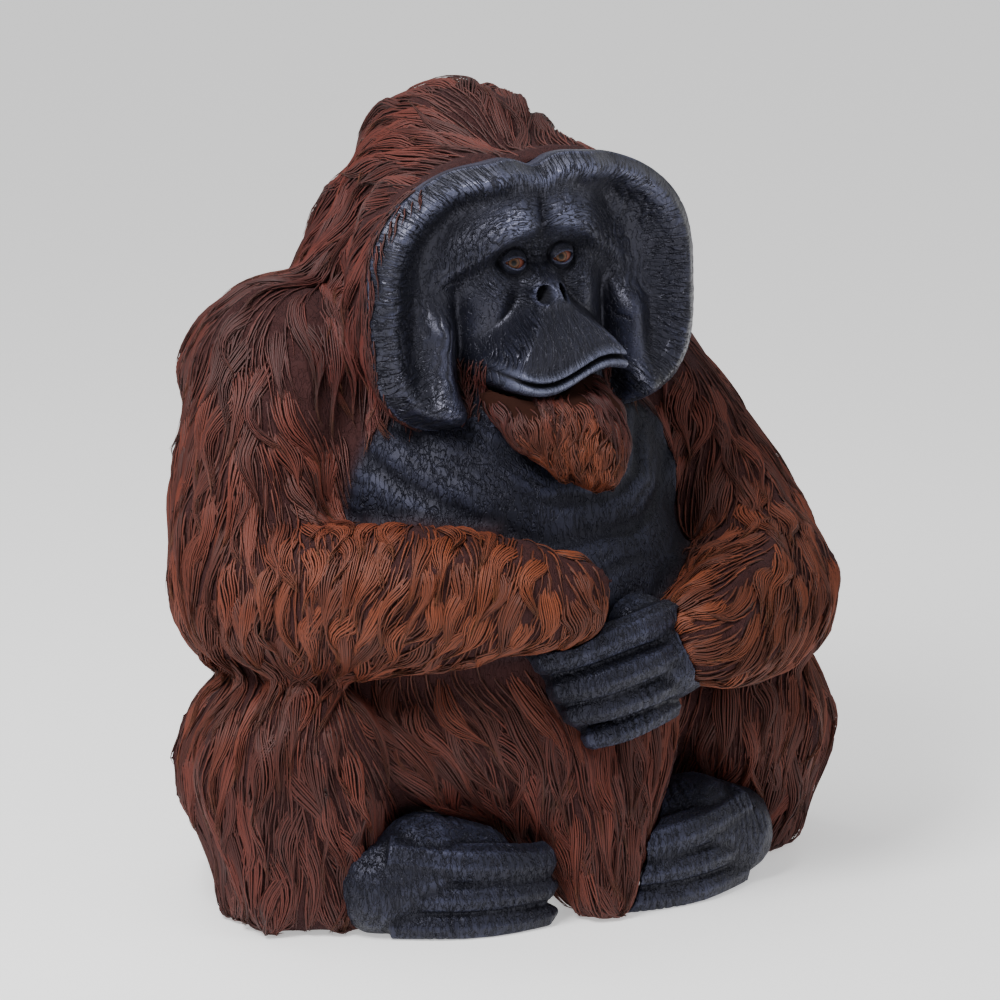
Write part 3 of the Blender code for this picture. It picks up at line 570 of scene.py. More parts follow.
def brow_forms(u, v):
    """Two domes with a crease between them, drooping outwards, and the sockets below."""
    side = np.abs(u)
    crest = brow_crest(side)
    height = np.where(v < crest, 0.0135 + 0.008 * rise(side, 0.045, 0.080), 0.034)
    ridge = hump(v, crest, height) * (1 - rise(side, 0.090, 0.128))
    dome = BROW_HEIGHT + DOME_HEIGHT * hump(side, BROW[0], 0.017)
    cheek = CHEEK_HEIGHT * hump(side, 0.052, 0.017) * hump(v, -0.010, 0.024)
    socket = SOCKET_DEPTH * hump(side, EYE[0] + 0.002, 0.021) * hump(v, EYE[1] + 0.002, 0.015)
    return dome * ridge * (1 - 0.5 * hump(u, 0.0, 0.007)) + cheek - socket


def muzzle_wall(u, v):
    """1 on the muzzle and 0 beside it, and its half width at that height."""
    half_width = MUZZLE_TOP_HALF_WIDTH + MUZZLE_SPREAD * rise(-v, -0.004, 0.080)
    return 1 - rise(np.abs(u), half_width - 0.016, half_width + 0.009), half_width


def muzzle_forms(u, v):
    """Nose, upper lip and chin, which stand out from the middle of the face."""
    side = np.abs(u)
    wall, half_width = muzzle_wall(u, v)
    dome = wall * (1 - 0.11 * (side / half_width) ** 2)
    reach = NOSE_REACH * rise(-v, -0.034, 0.012) + MUZZLE_REACH * rise(-v, 0.010, 0.076)
    reach += 0.006 * hump(v, -0.046, 0.022)
    depth = reach * dome * (1 - 0.80 * rise(mouth_line(u) - v, 0.011, 0.024))
    depth += 0.009 * hump(u, 0.0, 0.022) * hump(v, -0.001, 0.012)
    return depth + 0.006 * hump(side, 0.0185, 0.006) * hump(v, -0.004, 0.009)


def lip_shares(u, v):
    """Shares of the upper roll, the lower roll and the line between them."""
    lips = 1 - rise(np.abs(u), MOUTH_HALF_WIDTH - 0.014, MOUTH_HALF_WIDTH + 0.005)
    line = mouth_line(u)
    shares = hump(v, line + 0.0060, 0.0046), hump(v, line - 0.0062, 0.0048), hump(v, line, 0.0021)
    return [lips * share for share in shares]


def nostril_shares(u, v):
    """Two comma-shaped nostrils that lean apart at the foot, and the roll round each."""
    side = np.abs(u) - NOSTRIL[0] + 0.30 * (v - NOSTRIL[1])
    up = v - NOSTRIL[1]
    hole = rise(np.exp(-((side / 0.0064) ** 2) - (up / 0.0092) ** 2), 0.28, 0.58)
    return hole, hump(np.hypot(side, up / 1.45), 0.0078, 0.0020)


def lid_forms(u, v, depth):
    """Lids that close over each eyeball but for an almond gap, and bags below it."""
    out = np.abs(u) - EYE[0]
    up = v - EYE[1] - 0.10 * out
    from_eye = np.hypot(out, up)
    over_ball = EYE_DEPTH + np.sqrt(np.maximum(0.0, (EYE_RADIUS + LID_THICKNESS) ** 2 - from_eye**2))
    gap = EYE_GAP[1] * np.maximum(0.0, 1 - (out / EYE_GAP[0]) ** 2)
    inside = rise(gap - np.abs(up), -0.0002, 0.0010) * (np.abs(out) < EYE_GAP[0])
    depth = np.maximum(depth, np.where(from_eye < EYE_RADIUS + 0.0018, over_ball, -1.0))
    edge = hump(np.abs(up), gap + 0.0016, 0.0013) * (1 - rise(np.abs(out), 0.011, 0.014))
    depth += 0.0009 * edge
    depth += 0.0034 * hump(from_eye, 0.0185, 0.0050) * rise(up, -0.002, 0.008)
    depth += 0.0020 * hump(from_eye, 0.0205, 0.0045) * rise(-up, 0.0, 0.009)
    sunk = EYE_DEPTH + 0.001
    return depth * (1 - inside) + sunk * inside


def face_creases(u, v, share, angle):
    """The larger creases of the modelled skin, as a depth to take away."""
    flat = np.stack([u, v, u * 0], axis=1)
    wander, tremble = noise_at(flat, 24.0), noise_at(flat + 1.0, 90.0)
    patchy = rise(noise_at(flat + 2.0, 30.0), -0.35, 0.25)
    side = np.abs(u)
    on_rim = rise(share, 0.72, 0.86)
    spokes = grooves(angle * 17 / np.pi + wander * 1.6 + tremble * 0.5, 5)
    cut = RIM_CREASE_DEPTHS[0] * spokes * on_rim * patchy
    rounds = grooves(share * 15 + wander * 1.6 + tremble * 0.4)
    cut += RIM_CREASE_DEPTHS[1] * rounds * on_rim * (1 - patchy)
    from_brow = np.hypot(side - BROW_BOW[0], v - BROW_BOW[1])
    brow = hump(v, brow_crest(side) + 0.004, 0.026) * (1 - rise(side, 0.085, 0.115))
    bows = grooves(from_brow / 0.0098 + wander * 1.2 + tremble * 0.3)
    cut += BROW_CREASE_DEPTH * bows * brow * (0.4 + 0.6 * patchy)
    dish = rise(side, 0.085, 0.100) * (1 - rise(share, 0.74, 0.86))
    slants = grooves(side / 0.014 + v * 14 + wander * 2.0 + tremble * 0.4)
    cut += DISH_CREASE_DEPTH * slants * dish * patchy
    from_eye = np.hypot(side - EYE[0], v - EYE[1])
    below = rise(from_eye, 0.021, 0.025) * (1 - rise(from_eye, 0.040, 0.052)) * (v < EYE[1])
    bags = grooves(from_eye / 0.0062 + wander * 1.5 + tremble * 0.4)
    cut += EYE_CREASE_DEPTH * bags * below * patchy
    frown = grooves(v / 0.0075 + wander * 0.9)
    return cut + FROWN_CREASE_DEPTH * frown * hump(u, 0.0, 0.015) * hump(v, 0.040, 0.016)


angles = (np.arange(FACE_SPOKES) / FACE_SPOKES * 2 - 0.5) * np.pi
angles = np.where(angles > np.pi, angles - 2 * np.pi, angles)
shares = (np.arange(1, FACE_RINGS + 1) / FACE_RINGS) ** 0.95
share_grid, angle_grid = (g.ravel() for g in np.meshgrid(shares, angles, indexing="ij"))
share_grid, angle_grid = np.append(share_grid, 0.0), np.append(angle_grid, 0.0)
reach_grid = face_reach(angle_grid) * share_grid
u_grid, v_grid = reach_grid * np.cos(angle_grid), reach_grid * np.sin(angle_grid)
side_grid = np.abs(u_grid)
upper_lip, lower_lip, mouth = lip_shares(u_grid, v_grid)
hole, roll = nostril_shares(u_grid, v_grid)
w_grid = flange_forms(u_grid, v_grid, share_grid)
w_grid = w_grid + brow_forms(u_grid, v_grid) + muzzle_forms(u_grid, v_grid)
w_grid = lid_forms(u_grid, v_grid, w_grid)
w_grid += UPPER_LIP_HEIGHT * upper_lip + LOWER_LIP_HEIGHT * lower_lip - MOUTH_DEPTH * mouth
w_grid += NOSTRIL_ROLL_HEIGHT * roll * (1 - hole) - NOSTRIL_DEPTH * hole
from_eye = np.hypot(side_grid - EYE[0], v_grid - EYE[1])
w_grid -= face_creases(u_grid, v_grid, share_grid, angle_grid) * rise(from_eye, 0.015, 0.019)
front = np.stack([u_grid, v_grid, w_grid], axis=1)
sheets = [front[:-1].reshape(FACE_RINGS, FACE_SPOKES, 3)]
# The rim turns back from the front sheet to the rear, a little narrower at each ring
for shrink, back in ((0.997, 0.2), (0.985, 0.5), (0.955, 0.8), (0.880, 1.0)):
    ring = sheets[0][-1] * [shrink, shrink, 1 - back]
    ring[:, 2] -= FACE_THICKNESS * back
    sheets.append(ring[None])
rings = np.concatenate(sheets)
places = np.concatenate([rings.reshape(-1, 3), front[-1:], [[0, 0, -FACE_THICKNESS]]])
turn = np.array(FACE)
places = places @ turn[:3, :3].T + turn[:3, 3]
index = np.arange(len(rings) * FACE_SPOKES).reshape(len(rings), FACE_SPOKES)
ahead = np.roll(index, -1, axis=1)
quads = np.stack([index[:-1], index[1:], ahead[1:], ahead[:-1]], axis=-1).reshape(-1, 4)
pole, rear = len(places) - 2, len(places) - 1
faces = quads.tolist()
faces += [[pole, a, b] for a, b in zip(index[0], ahead[0])]
faces += [[rear, b, a] for a, b in zip(index[-1], ahead[-1])]
face = mesh_object("face", places, faces)
store_crest(face, 10, 0.0030)


def store_front(name, values):
    """Stores values that were worked out for the front of the face; its back gets 0."""
    values = np.asarray(values)
    blank = np.zeros((len(places) - len(values) - 1, *values.shape[1:]))
    store(face, name, np.concatenate([values[:-1], blank, values[-1:], blank[:1]]))


on_muzzle = muzzle_wall(u_grid, v_grid)[0] * rise(-v_grid, 0.008, 0.020)
on_rim = rise(share_grid, 0.66, 0.84) * (1 - on_muzzle)
from_brow = np.hypot(side_grid - BROW_BOW[0], v_grid - BROW_BOW[1])
brow_bearing = np.arctan2(v_grid - BROW_BOW[1], side_grid - BROW_BOW[0])
on_brow = hump(v_grid, brow_crest(side_grid) + 0.006, 0.030) * (1 - rise(side_grid, 0.095, 0.125))
on_brow *= 1 - on_rim
by_eye = rise(from_eye, 0.014, 0.018) * (1 - rise(from_eye, 0.040, 0.056))
by_eye = by_eye * (1 - on_muzzle) * (1 - on_brow)
eye_bearing = np.arctan2(v_grid - EYE[1], side_grid - EYE[0])
fan = u_grid / (0.55 + 6.0 * np.clip(-v_grid, 0.0, 0.08))
store_front("grain_rim", np.stack([angle_grid * 0.165, reach_grid, on_rim], axis=1))
store_front("grain_brow", np.stack([from_brow, brow_bearing * 0.045, on_brow], axis=1))
store_front("grain_eye", np.stack([from_eye, eye_bearing * 0.03, by_eye], axis=1))
store_front("grain_lip", np.stack([fan, v_grid, on_muzzle], axis=1))
store_front("pale", np.clip(upper_lip * 0.7 + lower_lip, 0, 1) * (1 - mouth))
septum = hump(side_grid, 0.0030, 0.0026) * hump(v_grid, NOSTRIL[1] + 0.001, 0.0085)
nostril_rim = np.clip(1.2 * septum + 0.12 * roll, 0, 1) * (1 - hole)
store_front("nostril_rim", nostril_rim * hump(u_grid, 0.0, 0.018))
# Painted highlight: the brow domes and the upper part of the rim are painted paler, where the key light from
# above would shine on them
brow_highlight = hump(side_grid, BROW[0] + 0.004, 0.020) * hump(v_grid, BROW[1] + 0.002, 0.018)
rim_highlight = 0.7 * hump(share_grid, RIM_PLACE - 0.01, 0.055) * rise(v_grid, 0.03, 0.11)
store_front("painted_highlight", brow_highlight + rim_highlight)
# Painted shade: the mouth line, the nostril holes and a ring at the edge of each lid are darkened as shade
# in these recesses
store_front("painted_shade", np.clip(1.4 * mouth + 1.6 * hole + 0.6 * hump(from_eye, 0.0155, 0.0045), 0, 1))

face_paint = Paint("face_skin")
crest = face_paint.number("crest")
fine = face_paint.cloud(520.0, 2.0)
broad = face_paint.cloud(11.0, 3.0)
land = 1.0
# Each grain of the skin, the pitch of its wrinkles and their stretch along it
for name, pitch, along in (
    ("grain_rim", 0.0042, 0.20),
    ("grain_brow", 0.0030, 0.28),
    ("grain_eye", 0.0022, 0.30),
    ("grain_lip", 0.0030, 0.10),
):
    grain = face_paint.vector(name)
    weight = face_paint.add("ShaderNodeSeparateXYZ", {}, {"Vector": grain}, output="Z")
    groove = (1.0 - face_paint.wrinkles(grain, pitch, (1.0, along, 0.0), 0.0, 0.06)) * weight
    land = land - groove
grit = face_paint.wrinkles(face_paint.place(), 0.0055, (1.0, 0.8, 0.6), 0.3, 0.03)
land = land - (1.0 - grit) * 0.25
worn = (crest + (land - 0.75) * 0.30 + (fine - 0.5) * 0.40).between(0.50, 0.95)
worn = worn * broad.between(0.20, 0.68)
colour = face_paint.blend(broad, SKIN_DARK, SKIN_WORN)
colour = face_paint.blend(worn * 0.85, colour, SKIN_BRUSHED)
# Painted highlight on the brow domes and the upper rim, kept to the land between the wrinkles
painted_highlight = face_paint.number("painted_highlight") * (land + (fine - 0.5) * 0.8).between(0.35, 1.0)
colour = face_paint.blend(painted_highlight * 0.65, colour, HIGHLIGHT_PALE)
colour = face_paint.blend(face_paint.number("pale") * (crest * 0.9 + 0.15), colour, LIP_PALE)
colour = face_paint.blend(face_paint.number("nostril_rim") * 0.8, colour, NOSTRIL_PALE)
# Painted shade darkens the mouth line, the nostrils and the lid edges, and the same places are made rougher
# below
colour = face_paint.blend(face_paint.number("painted_shade"), colour, PAINTED_SHADE_DARK)
relief = face_paint.bump(land * 0.85 + fine * 0.15, 0.0022, 1.0)
rough = fine * 0.12 + 0.31 + face_paint.number("painted_shade") * 0.35
face_paint.set(Base_Color=colour, Roughness=rough, Normal=relief, Specular_IOR_Level=0.50)
face_paint.set(Specular_Tint=SKIN_SHEEN)
face.data.materials.append(face_paint.material)
face.data.shade_smooth()
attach(face, "root")
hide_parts("flange_right", "flange_left", "brow", "nose", "muzzle", "lower_lip")


# Eyes: balls set behind the lids, painted with a black pupil, an amber-brown iris with
# a dark ring and a red-brown white, and given a thin varnish.
GAZE = Vector((-0.27, -0.95, 0.03)).normalized()
eye_paint = Paint("varnished_eye")
fibres = eye_paint.cloud(900.0, 3.0)
# Angle off the gaze in radians, and the colour there
rings_of_eye = [
    (0.00, (0.0010, 0.0010, 0.0010)),
    (0.20, (0.0010, 0.0010, 0.0010)),
    (0.24, (0.0420, 0.0170, 0.0070)),
    (0.38, (0.1000, 0.0420, 0.0160)),
    (0.47, (0.0050, 0.0026, 0.0020)),
    (0.56, (0.1500, 0.0420, 0.0220)),
    (1.00, (0.0700, 0.0170, 0.0100)),
]
off_gaze = eye_paint.number("off_gaze") + (fibres - 0.5) * 0.04
iris = eye_paint.add("ShaderNodeValToRGB", {"stops": rings_of_eye}, {"Fac": off_gaze})
eye_paint.set(Base_Color=iris, Roughness=0.42, Coat_Weight=0.22, Coat_Roughness=0.02)
eye_paint.set(Specular_IOR_Level=0.15)
for side_name, side in (("right", -1), ("left", 1)):
    bm = bmesh.new()
    bmesh.ops.create_uvsphere(bm, u_segments=48, v_segments=32, radius=EYE_RADIUS)
    middle = FACE @ Vector((side * EYE[0], EYE[1], EYE_DEPTH))
    bmesh.ops.translate(bm, verts=bm.verts, vec=middle)
    mesh = bpy.data.meshes.new(f"eyeball_{side_name}")
    bm.to_mesh(mesh)
    bm.free()
    eye = bpy.data.objects.new(f"eyeball_{side_name}", mesh)
    bpy.context.scene.collection.objects.link(eye)
    ways = corners_of(eye) - np.array(middle)
    ways /= np.linalg.norm(ways, axis=1)[:, None]
    store(eye, "off_gaze", np.arccos(np.clip(ways @ np.array(GAZE), -1, 1)))
    mesh.materials.append(eye_paint.material)
    mesh.shade_smooth()
    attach(eye, "root")
    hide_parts(f"eye_{side_name}")


# Hands and feet: bare fingers and toes cast in one with the limbs, finely wrinkled
# across their length and painted like the chest, with what stands out brushed lighter.
HAND_NODES = ["hand_left", "hand_right"] + [f"finger_left_{i}" for i in (1, 2, 3, 4)]
HAND_VOXEL = 0.0020
FOOT_VOXEL = 0.0022
KNUCKLE_PITCH = 0.0105
KNUCKLE_DEPTH = 0.0011
LIMB_SKIN = {
    "wrinkles": ((0.0040, (1.0, 0.8, 0.26), 0.12), (0.0060, (1.0, 0.8, 0.34), -0.20)),
    "brushed": 0.75, "rough": 0.38, "relief": 0.0034, "shine": 0.34, "coated": False,
}
limb_paint = skin_paint("hand_and_foot_skin", **LIMB_SKIN)


def knuckle_folds(places):
    """Shallow folds across the fingers and toes, which lie along X."""
    wander = noise_at(places, 30.0) * 0.8 + noise_at(places, 80.0) * 0.3
    patchy = rise(noise_at(places, 26.0), -0.1, 0.35)
    across = grooves(places[:, 0] / KNUCKLE_PITCH + places[:, 2] * 12.0 + wander, 5)
    return KNUCKLE_DEPTH * across * patchy


def bare_limb(name, nodes, voxel):
    limb = wrap(name, nodes, voxel * COARSE, 7, 0.0)
    push_out(limb, -knuckle_folds(corners_of(limb) - np.array(SHIFT)))
    store_crest(limb, 12, 0.0026)
    limb.data.materials.append(limb_paint.material)
    limb.data.shade_smooth()
    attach(limb, "root")
    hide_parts(*nodes)
    return limb


hands = bare_limb("hands", HAND_NODES, HAND_VOXEL)
feet = []
for side in ("right", "left"):
    foot_nodes = [f"foot_{side}"] + [f"toe_{side}_{i}" for i in (1, 2, 3)]
    feet.append(bare_limb(f"foot_and_toes_{side}", foot_nodes, FOOT_VOXEL))


# Beard core: the solid chin under the carved beard, cast in one with the figure and
# painted a dull, mottled red-brown that shows only between the locks.
BEARD_VOXEL = 0.003 * COARSE
BEARD_INSET = 0.0045
BEARD_GROUND = ((0.014, 0.0046, 0.0032), (0.026, 0.0080, 0.0046))
beard_core = wrap("beard_core", ["beard"], BEARD_VOXEL, 8, BEARD_INSET)
core_paint = Paint("beard_ground")
mottled = core_paint.blend(core_paint.cloud(60.0), *BEARD_GROUND)
core_paint.set(Base_Color=mottled, Roughness=0.9, Specular_IOR_Level=0.1)
beard_core.data.materials.append(core_paint.material)
beard_core.data.shade_smooth()
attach(beard_core, "root")
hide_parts("beard")


# Coat: long hair carved as thin ridged strands. An even layer of them lies flat all
# over, and wavy locks lie on it, each sunk at its root and pointed at its lifted tip.
STRAND_WIDTH = 0.0046
STRAND_HEIGHT = 0.0026
ROOT_SINK = 0.0038
GUIDE_REACH = 0.070
BARE_OVERHANG = 0.022
LEAST_STATIONS = 4
# Groove, body and brushed ridge of a strand, each for red and for orange hair
GROOVE_COLOURS = ((0.0170, 0.0056, 0.0054), (0.0310, 0.0090, 0.0046))
BODY_COLOURS = ((0.0400, 0.0094, 0.0092), (0.0900, 0.0200, 0.0082))
RIDGE_COLOURS = ((0.1080, 0.0205, 0.0170), (0.2250, 0.0520, 0.0160))
TIP_OCHRE = (0.1300, 0.0720, 0.0270)
# Three columns of two charts each hold the unwrapped skin, with a patch for each strand
CHART_COLUMNS, CHART_ROWS = 3, 2
CHART_SPAN = 0.90
CHART_MARGIN, CHART_FILL = 0.03, 0.92
PATCH = 0.003
DOWN = (0.0, 0.0, -1.0)
MIRROR_BEHIND = -0.155
# Place, way the hair runs, length and how orange it is. The rows of the right half also
# guide the left, apart from those in front of the line above.
LIE = [
    ((-0.03, 0.00, 0.850), (-0.28, 0.90, 0.40), 0.100, 0.16),
    ((-0.05, 0.08, 0.890), (-0.45, 0.95, 0.00), 0.110, 0.16),
    ((-0.11, 0.05, 0.815), (-0.35, 0.90, -0.25), 0.110, 0.14),
    ((-0.13, 0.14, 0.760), (-0.10, 0.65, -0.75), 0.120, 0.10),
    ((-0.15, 0.04, 0.720), (-0.15, 0.45, -0.85), 0.120, 0.12),
    ((-0.17, 0.04, 0.620), (-0.12, 0.05, -1.0), 0.120, 0.06),
    ((-0.17, -0.03, 0.600), (0.02, -0.15, -1.0), 0.110, 0.06),
    ((0.00, 0.22, 0.780), (0.0, 0.55, -0.85), 0.130, 0.12),
    ((0.00, 0.29, 0.500), DOWN, 0.130, 0.16),
    ((-0.18, 0.16, 0.640), (-0.65, 0.15, -0.65), 0.110, 0.16),
    ((-0.27, 0.20, 0.540), (-0.35, 0.15, -1.0), 0.120, 0.20),
    ((-0.33, 0.08, 0.520), (-0.25, -0.25, -1.0), 0.110, 0.28),
    ((-0.25, 0.00, 0.530), (0.12, -0.35, -1.0), 0.100, 0.30),
    ((-0.20, 0.27, 0.350), DOWN, 0.130, 0.16),
    ((-0.20, 0.25, 0.150), (-0.1, 0.1, -1.0), 0.130, 0.16),
    ((-0.34, 0.10, 0.200), (-0.15, 0.05, -1.0), 0.130, 0.16),
    ((-0.28, -0.12, 0.270), (-0.1, -0.6, -1.0), 0.120, 0.16),
    ((-0.38, -0.02, 0.160), (-0.2, -0.15, -1.0), 0.130, 0.14),
    ((-0.30, -0.17, 0.140), (-0.05, -0.1, -1.0), 0.130, 0.20),
    ((-0.19, -0.16, 0.190), (0.40, -0.2, -1.0), 0.130, 0.20),
    ((-0.08, -0.20, 0.240), (0.40, -0.3, -0.9), 0.130, 0.16),
    ((0.00, -0.24, 0.120), (0.05, -0.1, -1.0), 0.120, 0.28),
]
# The arms and the left thigh, which differ from side to side
LIE_ONE_SIDED = [
    ((-0.38, 0.03, 0.400), (-0.15, -0.25, -1.0), 0.110, 0.42),
    ((-0.37, -0.01, 0.310), (-0.20, -0.35, -1.0), 0.100, 0.55),
    ((-0.27, -0.10, 0.440), (-0.30, -0.65, -0.55), 0.095, 0.70),
    ((-0.16, -0.20, 0.440), (-0.25, -0.55, -0.70), 0.085, 0.88),
    ((-0.22, -0.20, 0.370), (-0.55, -0.10, -0.85), 0.090, 0.80),
    ((-0.10, -0.27, 0.380), (-0.35, -0.10, -0.95), 0.080, 0.95),
    ((-0.03, -0.27, 0.370), (-0.10, 0.0, -1.0), 0.065, 1.00),
    ((-0.25, -0.15, 0.290), (-0.45, 0.05, -0.9), 0.090, 0.62),
    ((-0.13, -0.24, 0.310), (-0.45, 0.0, -0.9), 0.080, 0.80),
    ((0.37, 0.03, 0.420), (0.10, -0.30, -1.0), 0.110, 0.45),
    ((0.38, -0.04, 0.330), (0.00, -0.45, -0.9), 0.100, 0.70),
    ((0.30, -0.12, 0.390), (-0.35, -0.55, -0.65), 0.090, 0.80),
    ((0.24, -0.22, 0.340), (-0.85, -0.15, -0.45), 0.080, 0.95),
    ((0.15, -0.26, 0.330), (-0.90, 0.05, -0.40), 0.070, 1.00),
    ((0.22, -0.22, 0.260), (-0.60, 0.0, -0.85), 0.085, 0.90),
    ((0.31, -0.10, 0.250), (-0.15, 0.0, -1.0), 0.090, 0.80),
    ((0.24, -0.10, 0.270), (-0.45, -0.30, -0.90), 0.120, 0.20),
    ((0.30, -0.14, 0.150), (-0.30, -0.15, -1.0), 0.130, 0.26),
    ((0.20, -0.20, 0.190), (-0.40, -0.10, -1.0), 0.120, 0.22),
    ((0.10, -0.22, 0.180), (-0.35, -0.10, -1.0), 0.120, 0.24),
]
guide_rows = LIE + LIE_ONE_SIDED
for (x, y, z), (right, back, up), length, warmth in LIE:
    if x and y > MIRROR_BEHIND:
        guide_rows.append(((-x, y, z), (-right, back, up), length, warmth))
guide_places = np.array([row[0] for row in guide_rows]) + np.array(SHIFT)
guide_ways = np.array([row[1] for row in guide_rows])
guide_ways /= np.linalg.norm(guide_ways, axis=1)[:, None]
guide_lengths = np.array([row[2] for row in guide_rows])
guide_warmth = np.array([row[3] for row in guide_rows])


def lie_at(place, normal, swirl, way=None):
    """Way, length and warmth of the coat at a place, with a slow wander of the way."""
    weights = np.exp(-((guide_places - np.array(place)) ** 2).sum(axis=1) / GUIDE_REACH**2) + 1e-9
    weights /= weights.sum()
    way = Vector(way or weights @ guide_ways)
    way -= normal * way.dot(normal)
    way.normalize()
    angle = swirl * (noise.noise(place * 10.0) + 0.5 * noise.noise(place * 26.0))
    way = Matrix.Rotation(angle, 3, normal) @ way
    return way, float(weights @ guide_lengths), float(weights @ guide_warmth)


def too_near(place, others):
    """Whether a place is closer to any of the other pieces than its gap allows."""
    return any(tree.find_nearest(place)[3] < gap for tree, gap in others)


def tree_of(obj):
    places = [v.co.copy() for v in obj.data.vertices]
    return BVHTree.FromPolygons(places, [p.vertices[:] for p in obj.data.polygons])


def sprinkle(obj, spacing, seed):
    """Loose but even places on a surface."""
    rng = np.random.default_rng(seed)
    corners, thirds = corners_of(obj), thirds_of(obj)
    a, b, c = (corners[thirds[:, i]] for i in range(3))
    area = np.linalg.norm(np.cross(b - a, c - a), axis=1) / 2
    count = int(area.sum() / spacing**2 * 7)
    chosen = rng.choice(len(area), count, p=area / area.sum())
    s, t = rng.random((2, count, 1))
    s, t = np.where(s + t > 1, 1 - s, s), np.where(s + t > 1, 1 - t, t)
    spots = a[chosen] + (b - a)[chosen] * s + (c - a)[chosen] * t
    steps = [(x, y, z) for x in (-1, 0, 1) for y in (-1, 0, 1) for z in (-1, 0, 1)]
    cells = {}
    kept = []
    for spot, (x, y, z) in zip(spots.tolist(), np.floor(spots / spacing).astype(int).tolist()):
        near = (o for dx, dy, dz in steps for o in cells.get((x + dx, y + dy, z + dz), ()))
        if any(math.dist(spot, other) < spacing for other in near):
            continue
        cells.setdefault((x, y, z), []).append(spot)
        kept.append(Vector(spot))
    return kept


def comb_lock(tree, clear_of, rng, root, style, drawn):
    """Adds the strands of one lock: they run side by side, sway and meet at the tip."""
    stations = style["stations"]
    place, normal, _, _ = tree.find_nearest(root)
    _, length, warmth = lie_at(place, normal, 0.0)
    length *= style["long"] * rng.uniform(0.75, 1.2)
    step = length / (stations - 1)
    sway = rng.uniform(-1.0, 1.0) * style["sway"]
    curl = rng.uniform(-1.0, 1.0) * style["curl"]
    over_bare = 0.0
    path = []
    for i in range(stations):
        t = i / (stations - 1)
        way, _, _ = lie_at(place, normal, style["swirl"], style["way"])
        way = Matrix.Rotation(sway * math.sin(2 * math.pi * t + 0.5) + curl * t**3, 3, normal) @ way
        path.append((place.copy(), normal.copy(), normal.cross(way).normalized()))
        over_bare += step * (style["avoids_bare"] and is_bare(place))
        if over_bare > BARE_OVERHANG or i >= LEAST_STATIONS and too_near(place, clear_of):
            break
        place, normal, _, _ = tree.find_nearest(place + way * step)
    if len(path) < LEAST_STATIONS:
        return
    reach = (len(path) - 1) / (stations - 1)
    count = style["strands"]
    width = style["wide"] * rng.uniform(0.75, 1.25) * (0.5 + 0.5 * reach)
    tone = rng.uniform(0.0, 1.0) ** 1.3
    lift = style["lift"] * rng.uniform(0.6, 1.3)
    beat, waves = rng.uniform(0.0, 1.0), rng.uniform(1.0, 1.7)
    for j in range(count):
        share = (j + 0.5) / count - 0.5
        own = rng.uniform(-0.25, 0.25) / count
        late = rng.uniform(0.0, 0.12)
        short = rng.uniform(0.84, 1.0)
        phase = beat + rng.uniform(-0.04, 0.04)
        line = []
        for i in range(stations):
            t = late + (short - late) * i / (stations - 1)
            k = min(int(t * (len(path) - 1)), len(path) - 2)
            f = t * (len(path) - 1) - k
            spot = path[k][0].lerp(path[k + 1][0], f)
            across = path[k][2].lerp(path[k + 1][2], f)
            spread = (0.45 + 0.57 * math.sin(math.pi * min(1.0, t * 1.5))) * (1.0 - 0.96 * t**1.9)
            ripple = style["ripple"] * math.sin(2 * math.pi * (waves * t + share * 0.25 + phase))
            base, out, _, _ = tree.find_nearest(spot + across * (width * spread * (share + own) + ripple))
            hill = (1 - (2 * share) ** 2) * math.sin(math.pi * min(1.0, 0.10 + 0.80 * t))
            height = style["sink"] + lift * (0.55 * hill + 0.45 * t * t * reach)
            height -= ROOT_SINK * max(0.0, 1.0 - 7.0 * (t - late))
            line.append((base + out * height, out, t))
        shade = style["bright"] * (tone * 0.65 + rng.uniform(0.0, 0.35))
        drawn.append((line, warmth, shade, root, normal))


